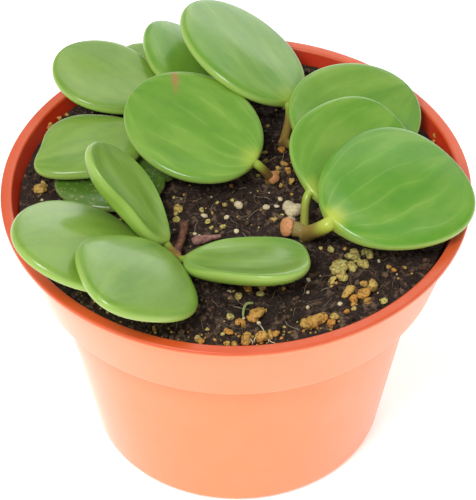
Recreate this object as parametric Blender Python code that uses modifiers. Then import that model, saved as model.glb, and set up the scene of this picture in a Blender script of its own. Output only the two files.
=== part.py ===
"""Potted peperomia: a plastic nursery pot, its soil, six short shoots and fourteen thick leaves.

Metres, +Z up. The origin is the middle of the pot's flat underside. Seen from -Y, the leaves hang over
the left and right of the rim, and the soil shows in the middle and at the front.
"""

import math
import random

import bmesh
import bpy
import numpy as np
from mathutils import Euler, Vector

MM = 0.001

# Clear space between the soil and the pot, and under a stem's root end
GAP = 0.35 * MM

# Pot: a thin moulded wall with a flat lip, a tapered collar, a step and a tapered body
POT_HEIGHT = 55.0 * MM
RIM_RADIUS = 42.5 * MM
LIP_WIDTH = 2.0 * MM
LIP_THICKNESS = 1.2 * MM
LIP_ROUNDING = 0.3 * MM
WALL = 1.3 * MM
COLLAR_TOP_RADIUS = 41.4 * MM
COLLAR_FOOT_RADIUS = 37.1 * MM
COLLAR_DEPTH = 16.0 * MM
COLLAR_ROUNDING = 0.5 * MM
BODY_TOP_RADIUS = 34.1 * MM
FOOT_RADIUS = 27.1 * MM
FOOT_ROUNDING = 1.3 * MM
FLOOR = 1.6 * MM
POT_STEPS = 72
DRAIN_COUNT = 6
DRAIN_RADIUS = 2.4 * MM
DRAIN_RING_RADIUS = 17.0 * MM
DRAIN_TURN = 0.2

# Soil
SOIL_BELOW_RIM = 2.5 * MM
SOIL_LEVEL = POT_HEIGHT - SOIL_BELOW_RIM
SOIL_STEPS = 48
SOIL_RINGS = 6
SOIL_SWELL = 0.25 * MM
GRAIN_SEED = 12
SMALL_GRAINS = 44
SMALL_GRAIN_SIZE = (0.7 * MM, 1.1 * MM)
GRAIN_ROOM = 2.6 * MM

# Large grains of perlite and vermiculite on the open soil: place across and along the soil, and radius
LARGE_GRAINS = (
    (9.5, -4.1, 1.75), (0.4, -3.0, 0.9), (20.6, -16.4, 1.2), (23.1, -16.2, 1.1), (22.4, -18.6, 1.0),
    (17.8, -20.2, 1.4), (23.9, -24.2, 1.2), (19.4, -25.6, 1.1), (22.0, -26.4, 1.2), (13.5, -32.9, 1.7),
    (15.9, -32.4, 1.1), (3.5, -30.9, 1.35), (1.7, -37.1, 1.1), (4.3, -36.9, 1.3), (-35.6, 1.2, 1.0),
)
GRAIN_SINK = 0.25
GRAIN_WALL_ROOM = 4.0 * MM

# Leaves: the blade's margin is an oval, its faces have a rounded edge, and it is a little dished or domed
LEAF_THICKNESS = 2.0 * MM
LEAF_EDGE_POWER = 8
LEAF_SIDES = 28
LEAF_RINGS = 8
PETIOLE_BLADE_RADIUS = 0.75 * MM
PETIOLE_INTO_BLADE = 3.2 * MM
PETIOLE_POINTS = 7

# Each leaf: its stem and the point on it that the leaf stalk leaves from, the foot of its blade, both
# across, along and above the soil (mm), then the blade's heading from +X, its rise, its roll to the left
# (degrees), its length and width (mm), how much wider it is towards its foot than towards its tip, and
# how deep it is dished (mm), where a minus sign makes it domed.
LEAVES = {
    "leaf_back": (
        "stem_back", (8.9, 14.0, 0.6), (9.6, 16.5, 7.8), (128, 14, 21), (28.0, 23.2), 0.02, -0.8),
    "leaf_back_left": (
        "stem_rear", (-5.0, 15.7, 3.3), (-6.5, 21.6, 5.8), (111, 9, 22), (20.5, 16.2), 0.10, -1.0),
    "leaf_upper_left": (
        "stem_left", (-11.3, 11.1, 3.3), (-15.0, 18.2, 6.1), (150, 13, 0), (21.8, 17.8), 0.03, 0.4),
    "leaf_hidden_left": (
        "stem_rear", (-5.3, 15.7, 1.1), (-10.0, 21.4, 2.7), (122, 7, 8), (18.6, 14.4), 0.05, 0.5),
    "leaf_middle": (
        "stem_middle", (6.3, 3.6, 1.0), (3.5, 1.7, 6.3), (149, 12, -12), (26.6, 22.2), 0.00, 0.6),
    "leaf_left": (
        "stem_left", (-11.9, 10.6, 1.8), (-17.1, 12.2, 5.2), (-157, -2, 0), (22.0, 17.2), 0.10, -0.3),
    "leaf_on_soil": (
        "stem_left", (-11.5, 10.4, 1.4), (-12.8, 2.4, 2.2), (-175, 0, 1), (20.1, 15.6), 0.08, 0.3),
    "leaf_inner_left": (
        "stem_front", (-10.9, -17.3, 2.0), (-12.3, -17.0, 4.3), (131, 31, 34), (22.9, 18.2), -0.04, 1.4),
    "leaf_outer_left": (
        "stem_front", (-11.1, -17.4, 1.2), (-16.1, -17.0, 3.2), (-151, 25, -5), (27.0, 23.6), 0.07, -1.1),
    "leaf_front_left": (
        "stem_front", (-11.1, -17.8, 1.6), (-12.2, -19.9, 4.3), (-117, 22, -18), (25.6, 22.9), 0.09, -1.2),
    "leaf_front": (
        "stem_front", (-10.5, -17.7, 1.6), (-9.0, -20.5, 3.7), (-4, 4, -19), (23.0, 19.0), -0.02, 1.4),
    "leaf_right_back": (
        "stem_back", (8.9, 14.0, 0.6), (11.8, 7.2, 6.5), (37, -1, 16), (25.7, 23.4), 0.06, 0.5),
    "leaf_right_inner": (
        "stem_right", (12.1, -10.9, 1.6), (13.0, -7.1, 7.0), (51, 5, 25), (25.4, 22.0), 0.04, 0.8),
    "leaf_right_front": (
        "stem_right", (12.5, -11.6, 1.3), (16.4, -15.7, 7.6), (38, 1, 11), (28.8, 28.2), -0.10, -0.2),
}

# How the outlines of some blades depart from an ellipse: for one to four waves round the blade, the
# cosine and sine parts of its reach from the middle
OUTLINES = {
    "leaf_back_left": (-0.094, 0.071, -0.011, 0.011, -0.005, 0.018, -0.011, 0.013),
    "leaf_upper_left": (-0.027, -0.003, -0.027, 0.043, -0.023, 0.002, 0.014, -0.006),
    "leaf_left": (-0.025, 0.024, -0.01, -0.001, -0.014, 0.053, 0.025, 0.034),
    "leaf_inner_left": (0.012, 0.003, 0.099, 0.054, -0.075, 0.052, 0.009, -0.011),
    "leaf_front_left": (0.048, 0.06, 0.022, -0, -0.021, -0.003, 0.033, 0.025),
    "leaf_front": (-0.003, -0.107, 0.046, -0.029, -0.05, -0.023, -0.028, 0.018),
    "leaf_right_inner": (-0.029, -0.02, -0.004, -0.003, -0.005, -0.012, -0.015, 0.02),
    "leaf_right_front": (-0.029, -0.057, 0.001, -0.007, -0.018, 0.003, -0.011, 0.003),
}
PLAIN_OUTLINE = (0.0,) * 8

# Stems: the radius of their leaf stalks, then the stem's line from its hole in the soil, as points
# across, along and above the soil with the radius there, all in mm
STEM_DEPTH = 8.0 * MM
STEM_HOLE_ROOM = 0.35 * MM
STALK_CLEARANCE = 0.45 * MM
STEMS = {
    "stem_right": (
        0.95,
        ((12.4, -11.2, 0.0, 1.2), (12.4, -11.3, 0.9, 1.35), (11.7, -11.3, 1.75, 1.35),
         (10.4, -11.0, 2.0, 1.3), (8.5, -10.6, 2.0, 1.45)),
    ),
    "stem_back": (
        0.9,
        ((8.9, 13.8, -0.5, 1.0), (8.9, 13.9, 0.6, 1.15), (8.9, 14.1, 1.3, 0.8)),
    ),
    "stem_middle": (
        0.9,
        ((6.3, 3.6, -0.2, 0.9), (6.3, 3.6, 0.7, 1.2), (6.3, 3.6, 1.5, 1.2), (6.3, 3.6, 2.0, 0.7)),
    ),
    "stem_front": (
        0.7,
        ((-9.1, -8.3, -0.4, 0.9), (-9.1, -8.5, 1.0, 0.95), (-9.2, -9.6, 1.8, 1.0),
         (-9.7, -13.0, 1.6, 0.95), (-10.5, -16.2, 1.6, 1.0), (-10.9, -17.5, 1.6, 1.2), (-11.1, -18.3, 1.6, 0.9)),
    ),
    "stem_left": (
        0.8,
        ((-11.5, 10.5, 0.0, 1.1), (-11.5, 10.6, 1.6, 1.15), (-11.4, 10.8, 3.4, 1.1), (-11.4, 10.8, 3.9, 0.6)),
    ),
    "stem_rear": (
        0.8,
        ((-5.0, 15.5, 0.0, 1.0), (-5.0, 15.6, 1.5, 1.05), (-5.0, 15.7, 3.2, 1.0), (-5.0, 15.7, 3.7, 0.5)),
    ),
}

# A dry piece of stem that lies on the soil
DRY_STEM = (
    (-7.9, -13.5, 1.2, 0.6), (-7.0, -13.2, 1.3, 0.85), (-5.6, -12.7, 1.2, 0.7), (-4.2, -12.2, 1.1, 0.45),
    (-2.8, -11.8, 1.0, 0.35),
)

TERRACOTTA = (0.86, 0.33, 0.14)
PEAT = (0.035, 0.024, 0.018)
LEAF_GREEN = (0.20, 0.38, 0.07)
STEM_TAN = (0.50, 0.30, 0.14)
DRY_BROWN = (0.32, 0.14, 0.09)


def clear_scene():
    for obj in list(bpy.data.objects):
        bpy.data.objects.remove(obj, do_unlink=True)


def new_collection(name):
    collection = bpy.data.collections.new(name)
    bpy.context.scene.collection.children.link(collection)
    return collection


def new_material(name, colour, roughness):
    material = bpy.data.materials.new(name)
    material.use_nodes = True
    shader = material.node_tree.nodes["Principled BSDF"]
    shader.inputs["Base Color"].default_value = (*colour, 1.0)
    shader.inputs["Roughness"].default_value = roughness
    shader.inputs["Metallic"].default_value = 0.0
    material.diffuse_color = (*colour, 1.0)
    return material


def new_object(name, data, collection, material=None):
    obj = bpy.data.objects.new(name, data)
    collection.objects.link(obj)
    if material:
        data.materials.append(material)
    return obj


def as_cutter(obj):
    obj.hide_render = True
    obj.display_type = "WIRE"
    return obj


def applied(obj):
    """Replaces an object by one that holds its evaluated mesh, with its caps and seams welded."""
    bpy.context.view_layer.update()
    graph = bpy.context.evaluated_depsgraph_get()
    mesh = bpy.data.meshes.new_from_object(obj.evaluated_get(graph))
    shape = bmesh.new()
    shape.from_mesh(mesh)
    bmesh.ops.remove_doubles(shape, verts=shape.verts, dist=1e-6)
    bmesh.ops.recalc_face_normals(shape, faces=shape.faces)
    shape.to_mesh(mesh)
    shape.free()
    name, collection, place = obj.name, obj.users_collection[0], obj.matrix_world.copy()
    bpy.data.objects.remove(obj, do_unlink=True)
    whole = bpy.data.objects.new(name, mesh)
    collection.objects.link(whole)
    whole.matrix_world = place
    return whole


def boolean(obj, other, operation, solver="EXACT"):
    modifier = obj.modifiers.new(f"{operation.title()} {other.name}", "BOOLEAN")
    modifier.operation = operation
    if isinstance(other, bpy.types.Collection):
        modifier.operand_type = "COLLECTION"
        modifier.collection = other
    else:
        modifier.object = other
    modifier.solver = solver
    return modifier


def turned(name, profile, steps, collection, material):
    """A solid of revolution: profile is (radius, height) pairs that run down the outer side."""
    mesh = bpy.data.meshes.new(name)
    points = [(radius, 0.0, height) for radius, height in profile]
    mesh.from_pydata(points, [(i, i + 1) for i in range(len(points) - 1)], [])
    obj = new_object(name, mesh, collection, material)
    screw = obj.modifiers.new("Turn", "SCREW")
    screw.steps = steps
    screw.render_steps = steps
    screw.use_merge_vertices = True
    screw.merge_threshold = 1e-5
    return obj


def tube(name, points, radii, collection, material=None):
    """A round bar along a list of points, with its own radius at each of them."""
    curve = bpy.data.curves.new(name, "CURVE")
    curve.dimensions = "3D"
    curve.bevel_depth = 1.0 * MM
    curve.bevel_resolution = 2
    curve.use_fill_caps = True
    spline = curve.splines.new("POLY")
    spline.points.add(len(points) - 1)
    for point, place, radius in zip(spline.points, points, radii):
        point.co = (*place, 1.0)
        point.radius = radius / curve.bevel_depth
    return new_object(name, curve, collection, material)


def on_soil(x, y, height):
    """A point given in mm across, along and above the soil."""
    return Vector((x * MM, y * MM, SOIL_LEVEL + height * MM))


def wall_radius(height, foot, top, foot_height, top_height):
    """The radius at one height of a wall that tapers evenly between two others."""
    share = (height - foot_height) / (top_height - foot_height)
    return foot + (top - foot) * share


def pot_inner_profile(clearance):
    """The pot's inside from the axis over the floor and up to the lip, moved inwards by the clearance."""
    step_height = POT_HEIGHT - COLLAR_DEPTH
    corner = FOOT_RADIUS - WALL
    return [
        (0.0, FLOOR + clearance),
        (corner - FOOT_ROUNDING - clearance, FLOOR + clearance),
        (corner - clearance, FLOOR + FOOT_ROUNDING + clearance),
        (BODY_TOP_RADIUS - WALL - clearance, step_height + WALL + clearance),
        (COLLAR_FOOT_RADIUS - WALL - clearance, step_height + WALL + clearance),
        (RIM_RADIUS - LIP_WIDTH - clearance, POT_HEIGHT - LIP_ROUNDING),
    ]


def make_pot(collection, cutters):
    step_height = POT_HEIGHT - COLLAR_DEPTH
    lip_foot = POT_HEIGHT - LIP_THICKNESS
    profile = pot_inner_profile(0.0) + [
        (RIM_RADIUS - LIP_WIDTH + LIP_ROUNDING, POT_HEIGHT),
        (RIM_RADIUS - LIP_ROUNDING, POT_HEIGHT),
        (RIM_RADIUS, POT_HEIGHT - LIP_ROUNDING),
        (RIM_RADIUS, lip_foot + LIP_ROUNDING),
        (RIM_RADIUS - LIP_ROUNDING, lip_foot),
        (COLLAR_TOP_RADIUS, lip_foot),
        (COLLAR_FOOT_RADIUS, step_height + COLLAR_ROUNDING),
        (COLLAR_FOOT_RADIUS - COLLAR_ROUNDING, step_height),
        (BODY_TOP_RADIUS, step_height),
        (FOOT_RADIUS, FOOT_ROUNDING),
        (FOOT_RADIUS - 0.3 * FOOT_ROUNDING, 0.3 * FOOT_ROUNDING),
        (FOOT_RADIUS - FOOT_ROUNDING, 0.0),
        (0.0, 0.0),
    ]
    pot = applied(turned("pot", profile, POT_STEPS, collection, None))
    pot.data.materials.append(new_material("Moulded polypropylene", TERRACOTTA, 0.42))
    for i in range(DRAIN_COUNT):
        angle = 2 * math.pi * (i + 0.5) / DRAIN_COUNT
        mesh = bpy.data.meshes.new(f"drain_{i}")
        shape = bmesh.new()
        bmesh.ops.create_cone(
            shape, cap_ends=True, segments=12, radius1=DRAIN_RADIUS, radius2=DRAIN_RADIUS, depth=4 * FLOOR
        )
        shape.to_mesh(mesh)
        shape.free()
        cutter = as_cutter(new_object(f"drain_{i}", mesh, cutters))
        cutter.location = (
            DRAIN_RING_RADIUS * math.cos(angle), DRAIN_RING_RADIUS * math.sin(angle), FLOOR / 2
        )
        cutter.rotation_euler.z = angle + DRAIN_TURN
        boolean(pot, cutter, "DIFFERENCE")
    pot.data.shade_smooth()
    pot.data.set_sharp_from_angle(angle=math.radians(35))
    return pot


def stem_points(line):
    """The stem's centre line, from its root end straight up its hole and then along its listed points."""
    x, y, _, first_radius = line[0]
    root = on_soil(x, y, 0.0) - Vector((0.0, 0.0, STEM_DEPTH))
    points = [root] + [on_soil(px, py, height) for px, py, height, _ in line]
    radii = [first_radius * MM] + [radius * MM for *_, radius in line]
    return points, radii


def soil_swell(x, y):
    """The soil's gentle rise and fall, as two crossed waves that fade out at the wall."""
    radius = math.hypot(x, y)
    fade = max(0.0, 1.0 - (radius / RIM_RADIUS) ** 4)
    return SOIL_SWELL * fade * (math.sin(260 * x + 1.0) * math.cos(210 * y) - 0.4 * math.sin(500 * y - 300 * x))


def grain_places():
    """Every grain as x, y and radius: the listed large ones, then small ones drawn at random between them."""
    draw = random.Random(GRAIN_SEED)
    grains = [(x * MM, y * MM, radius * MM) for x, y, radius in LARGE_GRAINS]
    lines = [line for _, line in STEMS.values()] + [DRY_STEM]
    stems = [(x * MM, y * MM) for line in lines for x, y, *_ in line]
    limit = RIM_RADIUS - LIP_WIDTH - GRAIN_WALL_ROOM
    while len(grains) < len(LARGE_GRAINS) + SMALL_GRAINS:
        angle, reach = draw.uniform(0, 2 * math.pi), limit * math.sqrt(draw.random())
        x, y = reach * math.cos(angle), reach * math.sin(angle)
        radius = draw.uniform(*SMALL_GRAIN_SIZE)
        near_stem = any(math.hypot(x - sx, y - sy) < GRAIN_ROOM + radius for sx, sy in stems)
        near_grain = any(math.hypot(x - gx, y - gy) < radius + other for gx, gy, other in grains)
        if not near_stem and not near_grain:
            grains.append((x, y, radius))
    return grains


def add_grains(shapes):
    """Low faceted lumps, sunk by half in the soil."""
    draw = random.Random(GRAIN_SEED + 1)
    for i, (x, y, radius) in enumerate(grain_places()):
        mesh = bpy.data.meshes.new(f"grain_{i:02d}")
        shape = bmesh.new()
        bmesh.ops.create_icosphere(shape, subdivisions=1, radius=radius)
        shape.to_mesh(mesh)
        shape.free()
        grain = as_cutter(new_object(mesh.name, mesh, shapes))
        grain.location = (x, y, SOIL_LEVEL + soil_swell(x, y) - GRAIN_SINK * radius)
        grain.rotation_euler = (draw.uniform(0, 3), draw.uniform(0, 3), draw.uniform(0, 3))
        grain.scale = (1.0, draw.uniform(0.75, 1.0), draw.uniform(0.6, 0.8))


def make_soil(collection, cutters):
    inside = pot_inner_profile(GAP)
    top_foot, lip = inside[-2], inside[-1]
    edge = wall_radius(SOIL_LEVEL, top_foot[0], lip[0], top_foot[1], lip[1])
    surface = [(edge * i / SOIL_RINGS, SOIL_LEVEL) for i in range(SOIL_RINGS + 1)]
    soil = applied(turned("soil", surface + inside[-2::-1], SOIL_STEPS, collection, None))
    soil.data.materials.append(new_material("Peat", PEAT, 0.95))
    for vertex in soil.data.vertices:
        if vertex.co.z > SOIL_LEVEL - 0.01 * MM:
            vertex.co.z += soil_swell(vertex.co.x, vertex.co.y)
    for name, (_, line) in STEMS.items():
        x, y, _, _ = line[0]
        widest = max(radius for _, _, height, radius in line if height < 1.0)
        depth = STEM_DEPTH + GAP
        mesh = bpy.data.meshes.new(f"hole_{name}")
        shape = bmesh.new()
        hole_radius = widest * MM + STEM_HOLE_ROOM
        bmesh.ops.create_cone(
            shape, cap_ends=True, segments=12, radius1=hole_radius, radius2=hole_radius, depth=2 * depth
        )
        shape.to_mesh(mesh)
        shape.free()
        cutter = as_cutter(new_object(mesh.name, mesh, cutters))
        cutter.location = on_soil(x, y, 0.0)
        boolean(soil, cutter, "DIFFERENCE", "MANIFOLD")
    grains = bpy.data.collections.new("Grains")
    cutters.children.link(grains)
    add_grains(grains)
    boolean(soil, grains, "UNION", "MANIFOLD")
    soil.data.shade_smooth()
    soil.data.set_sharp_from_angle(angle=math.radians(40))
    return soil


def leaf_blade(name, length, width, widening, dish, collection, material):
    """A unit sphere moulded into a blade whose foot is at the origin and whose tip is at +X.

    With X, Y on the sphere and r^2 = X^2 + Y^2: x = length (1 + q X) / 2, y = width q Y (1 - widening X) / 2,
    and z = dish (r^2 - 1) plus or minus half the thickness times (1 - r^power)^(1/2). The share q is one
    plus r^2 times the outline's waves, whose cosines count from their value at the foot.
    """
    waves = OUTLINES.get(name, PLAIN_OUTLINE)
    mesh = bpy.data.meshes.new(name)
    shape = bmesh.new()
    bmesh.ops.create_uvsphere(shape, u_segments=LEAF_SIDES, v_segments=LEAF_RINGS, radius=1.0)
    for vertex in shape.verts:
        along, across, up = vertex.co
        reach = min(1.0, math.hypot(along, across))
        edge = math.sqrt(max(0.0, 1.0 - reach**LEAF_EDGE_POWER))
        side = 0.0 if abs(up) < 1e-5 else math.copysign(1.0, up)
        bearing = math.atan2(across, along)
        share = 1.0 + reach**2 * sum(
            cosine * (math.cos(turns * bearing) - math.cos(turns * math.pi)) + sine * math.sin(turns * bearing)
            for turns, cosine, sine in zip((1, 2, 3, 4), waves[0::2], waves[1::2])
        )
        vertex.co = (
            length * (1 + share * along) / 2,
            width * share * across * (1 - widening * along) / 2,
            dish * (reach**2 - 1) + side * edge * LEAF_THICKNESS / 2,
        )
    shape.to_mesh(mesh)
    shape.free()
    return new_object(name, mesh, collection, material)


def petiole_line(stem, leaving_point, place, length, dish):
    """The leaf stalk's centre line: it leaves the stem towards the blade's foot and bends into the blade."""
    inside = 1 - 2 * PETIOLE_INTO_BLADE / length
    end = place @ Vector((PETIOLE_INTO_BLADE, 0.0, dish * (inside**2 - 1)))
    bend = place @ Vector((-0.5 * MM, 0.0, -0.4 * MM))
    centre = on_soil(*leaving_point)
    widest = max(radius for *_, radius in STEMS[stem][1]) * MM
    start = centre + (bend - centre).normalized() * (widest + STALK_CLEARANCE)
    steps = np.linspace(0.0, 1.0, PETIOLE_POINTS)
    return [start * (1 - t) ** 2 + bend * (2 * t * (1 - t)) + end * t**2 for t in steps]


def make_leaf(name, spec, collection, cutters, material):
    stem, leaving_point, foot, (heading, rise, roll), (length, width), widening, dish = spec
    length, width, dish = length * MM, width * MM, dish * MM
    leaf = leaf_blade(name, length, width, widening, dish, collection, material)
    leaf.location = on_soil(*foot)
    leaf.rotation_euler = Euler((math.radians(roll), math.radians(-rise), math.radians(heading)))
    bpy.context.view_layer.update()
    points = petiole_line(stem, leaving_point, leaf.matrix_world, length, dish)
    radii = np.linspace(STEMS[stem][0] * MM, PETIOLE_BLADE_RADIUS, PETIOLE_POINTS)
    petiole = applied(tube(f"petiole_{name}", points, radii, cutters))
    as_cutter(petiole)
    boolean(leaf, petiole, "UNION")
    leaf.data.shade_smooth()
    leaf.data.set_sharp_from_angle(angle=math.radians(60))
    return leaf


def make_stems(collection, material):
    for name, (_, line) in STEMS.items():
        points, radii = stem_points(line)
        tube(name, points, radii, collection, material)


def make_dry_stem(collection):
    points = [on_soil(x, y, height) for x, y, height, _ in DRY_STEM]
    radii = [radius * MM for *_, radius in DRY_STEM]
    tube("dry_stem", points, radii, collection, new_material("Dry stem", DRY_BROWN, 0.85))


def main():
    clear_scene()
    model = new_collection("Potted peperomia")
    cutters = new_collection("Cutters")
    make_pot(model, cutters)
    make_soil(model, cutters)
    make_stems(model, new_material("Stem", STEM_TAN, 0.6))
    make_dry_stem(model)
    leaf_material = new_material("Leaf", LEAF_GREEN, 0.35)
    for name, spec in LEAVES.items():
        make_leaf(name, spec, model, cutters, leaf_material)


main()
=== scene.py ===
"""Potted peperomia: the finished look of a small houseplant in a terracotta-coloured nursery pot.

Every length in the tables below is in millimetres. The plant stands in the frame of its solids: the
origin is the middle of the pot's flat underside, +Z is up, and the viewer stands at -Y.
"""

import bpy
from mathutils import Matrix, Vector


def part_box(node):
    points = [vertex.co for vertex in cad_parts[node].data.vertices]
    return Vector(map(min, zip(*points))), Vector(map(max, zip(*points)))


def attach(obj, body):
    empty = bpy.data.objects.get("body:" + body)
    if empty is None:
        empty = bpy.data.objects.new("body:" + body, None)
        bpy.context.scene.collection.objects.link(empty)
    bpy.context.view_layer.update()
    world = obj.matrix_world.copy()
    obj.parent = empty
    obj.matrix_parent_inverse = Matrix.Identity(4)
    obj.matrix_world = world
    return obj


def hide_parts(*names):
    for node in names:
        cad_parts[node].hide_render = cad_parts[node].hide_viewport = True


bl_info = {
    "name": "Potted peperomia",
    "version": (1, 0, 0),
    "blender": (4, 5, 0),
    "location": "3D View > Sidebar > Peperomia",
    "description": "Adds the pot, peat, grains, stems and leaves of a potted peperomia, and its stage",
    "category": "Add Mesh",
}

import math

import bpy
import numpy as np
from bpy.props import FloatProperty, FloatVectorProperty, PointerProperty
from bpy.types import Operator, Panel, PropertyGroup
from mathutils import Matrix

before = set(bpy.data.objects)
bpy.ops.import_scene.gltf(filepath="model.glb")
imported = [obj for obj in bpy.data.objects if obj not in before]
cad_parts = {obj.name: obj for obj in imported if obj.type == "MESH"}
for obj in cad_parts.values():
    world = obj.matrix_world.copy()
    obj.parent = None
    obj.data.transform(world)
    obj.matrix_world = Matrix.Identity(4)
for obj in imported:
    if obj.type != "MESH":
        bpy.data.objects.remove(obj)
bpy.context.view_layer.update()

MM = 0.001
TAU = 2 * math.pi

# The pot's outline, as its solid has it
POT_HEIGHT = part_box("pot")[1].z / MM
RIM_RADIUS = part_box("pot")[1].x / MM
LIP_WIDTH = 2.0
LIP_THICKNESS = 1.2
WALL = 1.3
COLLAR_TOP_RADIUS = 41.4
COLLAR_FOOT_RADIUS = 37.1
STEP_HEIGHT = POT_HEIGHT - 16.0
BODY_TOP_RADIUS = 34.1
FOOT_RADIUS = 27.1
FOOT_ROUNDING = 1.3
POT_FLOOR = 1.6
DRAIN_COUNT = 6
DRAIN_RADIUS = 2.4
DRAIN_RING_RADIUS = 17.0
DRAIN_SIDES = 32
POT_SIDES = 240
# Faces that meet at more than this are shaded as an edge
SHARP_ANGLE = np.radians(40)
# The wall's inside counts as lip from this far under the top
LIP_DEPTH = 0.3

SOIL_LEVEL = POT_HEIGHT - 2.5
SOIL_RADIUS = 39.2
# Points along each side of the soil's surface, and the room that the soil leaves at the wall
SOIL_GRID = 261
SOIL_ROOM = 0.5

# Each leaf: the point on its stem that its stalk leaves from and the foot of its blade, both across, along
# and above the soil, then the blade's heading from +X, its rise and its roll to the left in degrees, its
# length and width, how much wider it is towards its foot, and how deep it is dished, or domed where minus
LEAVES = {
    "leaf_back": ((8.9, 14.0, 0.6), (9.6, 16.5, 7.8), (128, 14, 21), (28.0, 23.2), 0.02, -0.8),
    "leaf_back_left": ((-5.0, 15.7, 3.3), (-6.5, 21.6, 5.8), (111, 9, 22), (20.5, 16.2), 0.10, -1.0),
    "leaf_upper_left": ((-11.3, 11.1, 3.3), (-15.0, 18.2, 6.1), (150, 13, 0), (21.8, 17.8), 0.03, 0.4),
    "leaf_hidden_left": ((-5.3, 15.7, 1.1), (-10.0, 21.4, 2.7), (122, 7, 8), (18.6, 14.4), 0.05, 0.5),
    "leaf_middle": ((6.3, 3.6, 1.0), (3.5, 1.7, 6.3), (149, 12, -12), (26.6, 22.2), 0.00, 0.6),
    "leaf_left": ((-11.9, 10.6, 1.8), (-17.1, 12.2, 5.2), (-157, -2, 0), (22.0, 17.2), 0.10, -0.3),
    "leaf_on_soil": ((-11.5, 10.4, 1.4), (-12.8, 2.4, 2.2), (-175, 0, 1), (20.1, 15.6), 0.08, 0.3),
    "leaf_inner_left": ((-10.9, -17.3, 2.0), (-12.3, -17.0, 4.3), (131, 31, 34), (22.9, 18.2), -0.04, 1.4),
    "leaf_outer_left": ((-11.1, -17.4, 1.2), (-16.1, -17.0, 3.2), (-151, 25, -5), (27.0, 23.6), 0.07, -1.1),
    "leaf_front_left": ((-11.1, -17.8, 1.6), (-12.2, -19.9, 4.3), (-117, 22, -18), (25.6, 22.9), 0.09, -1.2),
    "leaf_front": ((-10.5, -17.7, 1.6), (-9.0, -20.5, 3.7), (-4, 4, -19), (23.0, 19.0), -0.02, 1.4),
    "leaf_right_back": ((8.9, 14.0, 0.6), (11.8, 7.2, 6.5), (37, -1, 16), (25.7, 23.4), 0.06, 0.5),
    "leaf_right_inner": ((12.1, -10.9, 1.6), (13.0, -7.1, 7.0), (51, 5, 25), (25.4, 22.0), 0.04, 0.8),
    "leaf_right_front": ((12.5, -11.6, 1.3), (16.4, -15.7, 7.6), (38, 1, 11), (28.8, 28.2), -0.10, -0.2),
}

# Each leaf's own look: the share of grey green in it, how plain its veins are, how yellow its foot is, its
# thickness, the radius of its stalk, how brown the stalk is, and how much its dish gathers into a curled rim
LOOKS = {
    "leaf_back": (0.35, 0.45, 0.4, 2.2, 0.85, 0.8, 1.0),
    "leaf_back_left": (0.3, 0.1, 0.2, 2.2, 0.8, 0.7, 1.0),
    "leaf_upper_left": (0.9, 0.1, 0.2, 2.2, 0.8, 0.7, 1.0),
    "leaf_hidden_left": (0.8, 0.1, 0.2, 2.0, 0.8, 0.7, 1.0),
    "leaf_middle": (0.35, 0.7, 0.6, 2.3, 0.8, 1.0, 1.0),
    "leaf_left": (0.9, 0.1, 0.2, 2.2, 0.7, 0.9, 1.0),
    "leaf_on_soil": (0.2, 0.0, 0.0, 1.8, 0.7, 1.0, 1.0),
    "leaf_inner_left": (0.7, 0.1, 0.2, 2.7, 0.65, 0.8, 2.6),
    "leaf_outer_left": (0.8, 0.1, 0.3, 2.2, 0.65, 0.8, 1.0),
    "leaf_front_left": (0.65, 0.1, 0.2, 2.4, 0.65, 0.8, 1.0),
    "leaf_front": (0.65, 0.1, 0.2, 2.7, 0.65, 0.8, 2.4),
    "leaf_right_back": (0.4, 0.4, 0.3, 2.0, 0.8, 0.8, 1.0),
    "leaf_right_inner": (0.25, 0.4, 0.6, 2.1, 0.75, 0.15, 1.0),
    "leaf_right_front": (0.0, 0.7, 1.0, 2.2, 1.3, 0.85, 1.0),
}

# How the outlines of some blades depart from an ellipse: for one to four waves round the blade, the cosine
# and sine parts of its reach from the middle
OUTLINES = {
    "leaf_back_left": (-0.094, 0.071, -0.011, 0.011, -0.005, 0.018, -0.011, 0.013),
    "leaf_upper_left": (-0.027, -0.003, -0.027, 0.043, -0.023, 0.002, 0.014, -0.006),
    "leaf_left": (-0.025, 0.024, -0.01, -0.001, -0.014, 0.053, 0.025, 0.034),
    "leaf_inner_left": (0.012, 0.003, 0.099, 0.054, -0.075, 0.052, 0.009, -0.011),
    "leaf_front_left": (0.048, 0.06, 0.022, 0.0, -0.021, -0.003, 0.033, 0.025),
    "leaf_front": (-0.003, -0.107, 0.046, -0.029, -0.05, -0.023, -0.028, 0.018),
    "leaf_right_inner": (-0.029, -0.02, -0.004, -0.003, -0.005, -0.012, -0.015, 0.02),
    "leaf_right_front": (-0.029, -0.057, 0.001, -0.007, -0.018, 0.003, -0.011, 0.003),
}

# Stations and sides of a blade's sections, the stations of its stalk, and the thickness of the solid's blades
BLADE_STATIONS = 90
BLADE_SIDES = 96
STALK_STATIONS = 15
SOLID_THICKNESS = 2.0
# How far a stalk's round section fades into its blade, and how strongly the stalk bends towards its two ends,
# as a share of the distance between them
STALK_FADE = 8.0
STALK_PULL = 0.26
# Heights of the two slow waves that keep a blade from being even
BROAD_WAVE = 0.22
NARROW_WAVE = 0.13
# How plain the pale line on a margin is, partly the margin's own paler green and partly a painted highlight
# on the lit rim, and how far a yellow foot spreads from the stalk
MARGIN_AND_HIGHLIGHT_SHARE = 0.5
THROAT_REACH = (0.3, 4.4)

# A brown scar crosses one leaf's margin: its place along and across the blade, its slant, its length inwards
# and its half width, all as shares of the blade's halves, and how brown it is
SCARRED_LEAF = "leaf_middle"
SCAR_ALONG = 0.62
SCAR_ACROSS = -0.74
SCAR_SLANT = -0.39
SCAR_LENGTH = 0.26
SCAR_WIDTH = 0.038
SCAR_SHARE = 0.85
# Peat dust lies on the lowest leaf, and the same share paints it a darker green, as painted shade under the
# leaves above
DUSTY_SHADED_LEAF = "leaf_on_soil"
DUST_AND_SHADE_SHARE = 0.55

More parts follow.
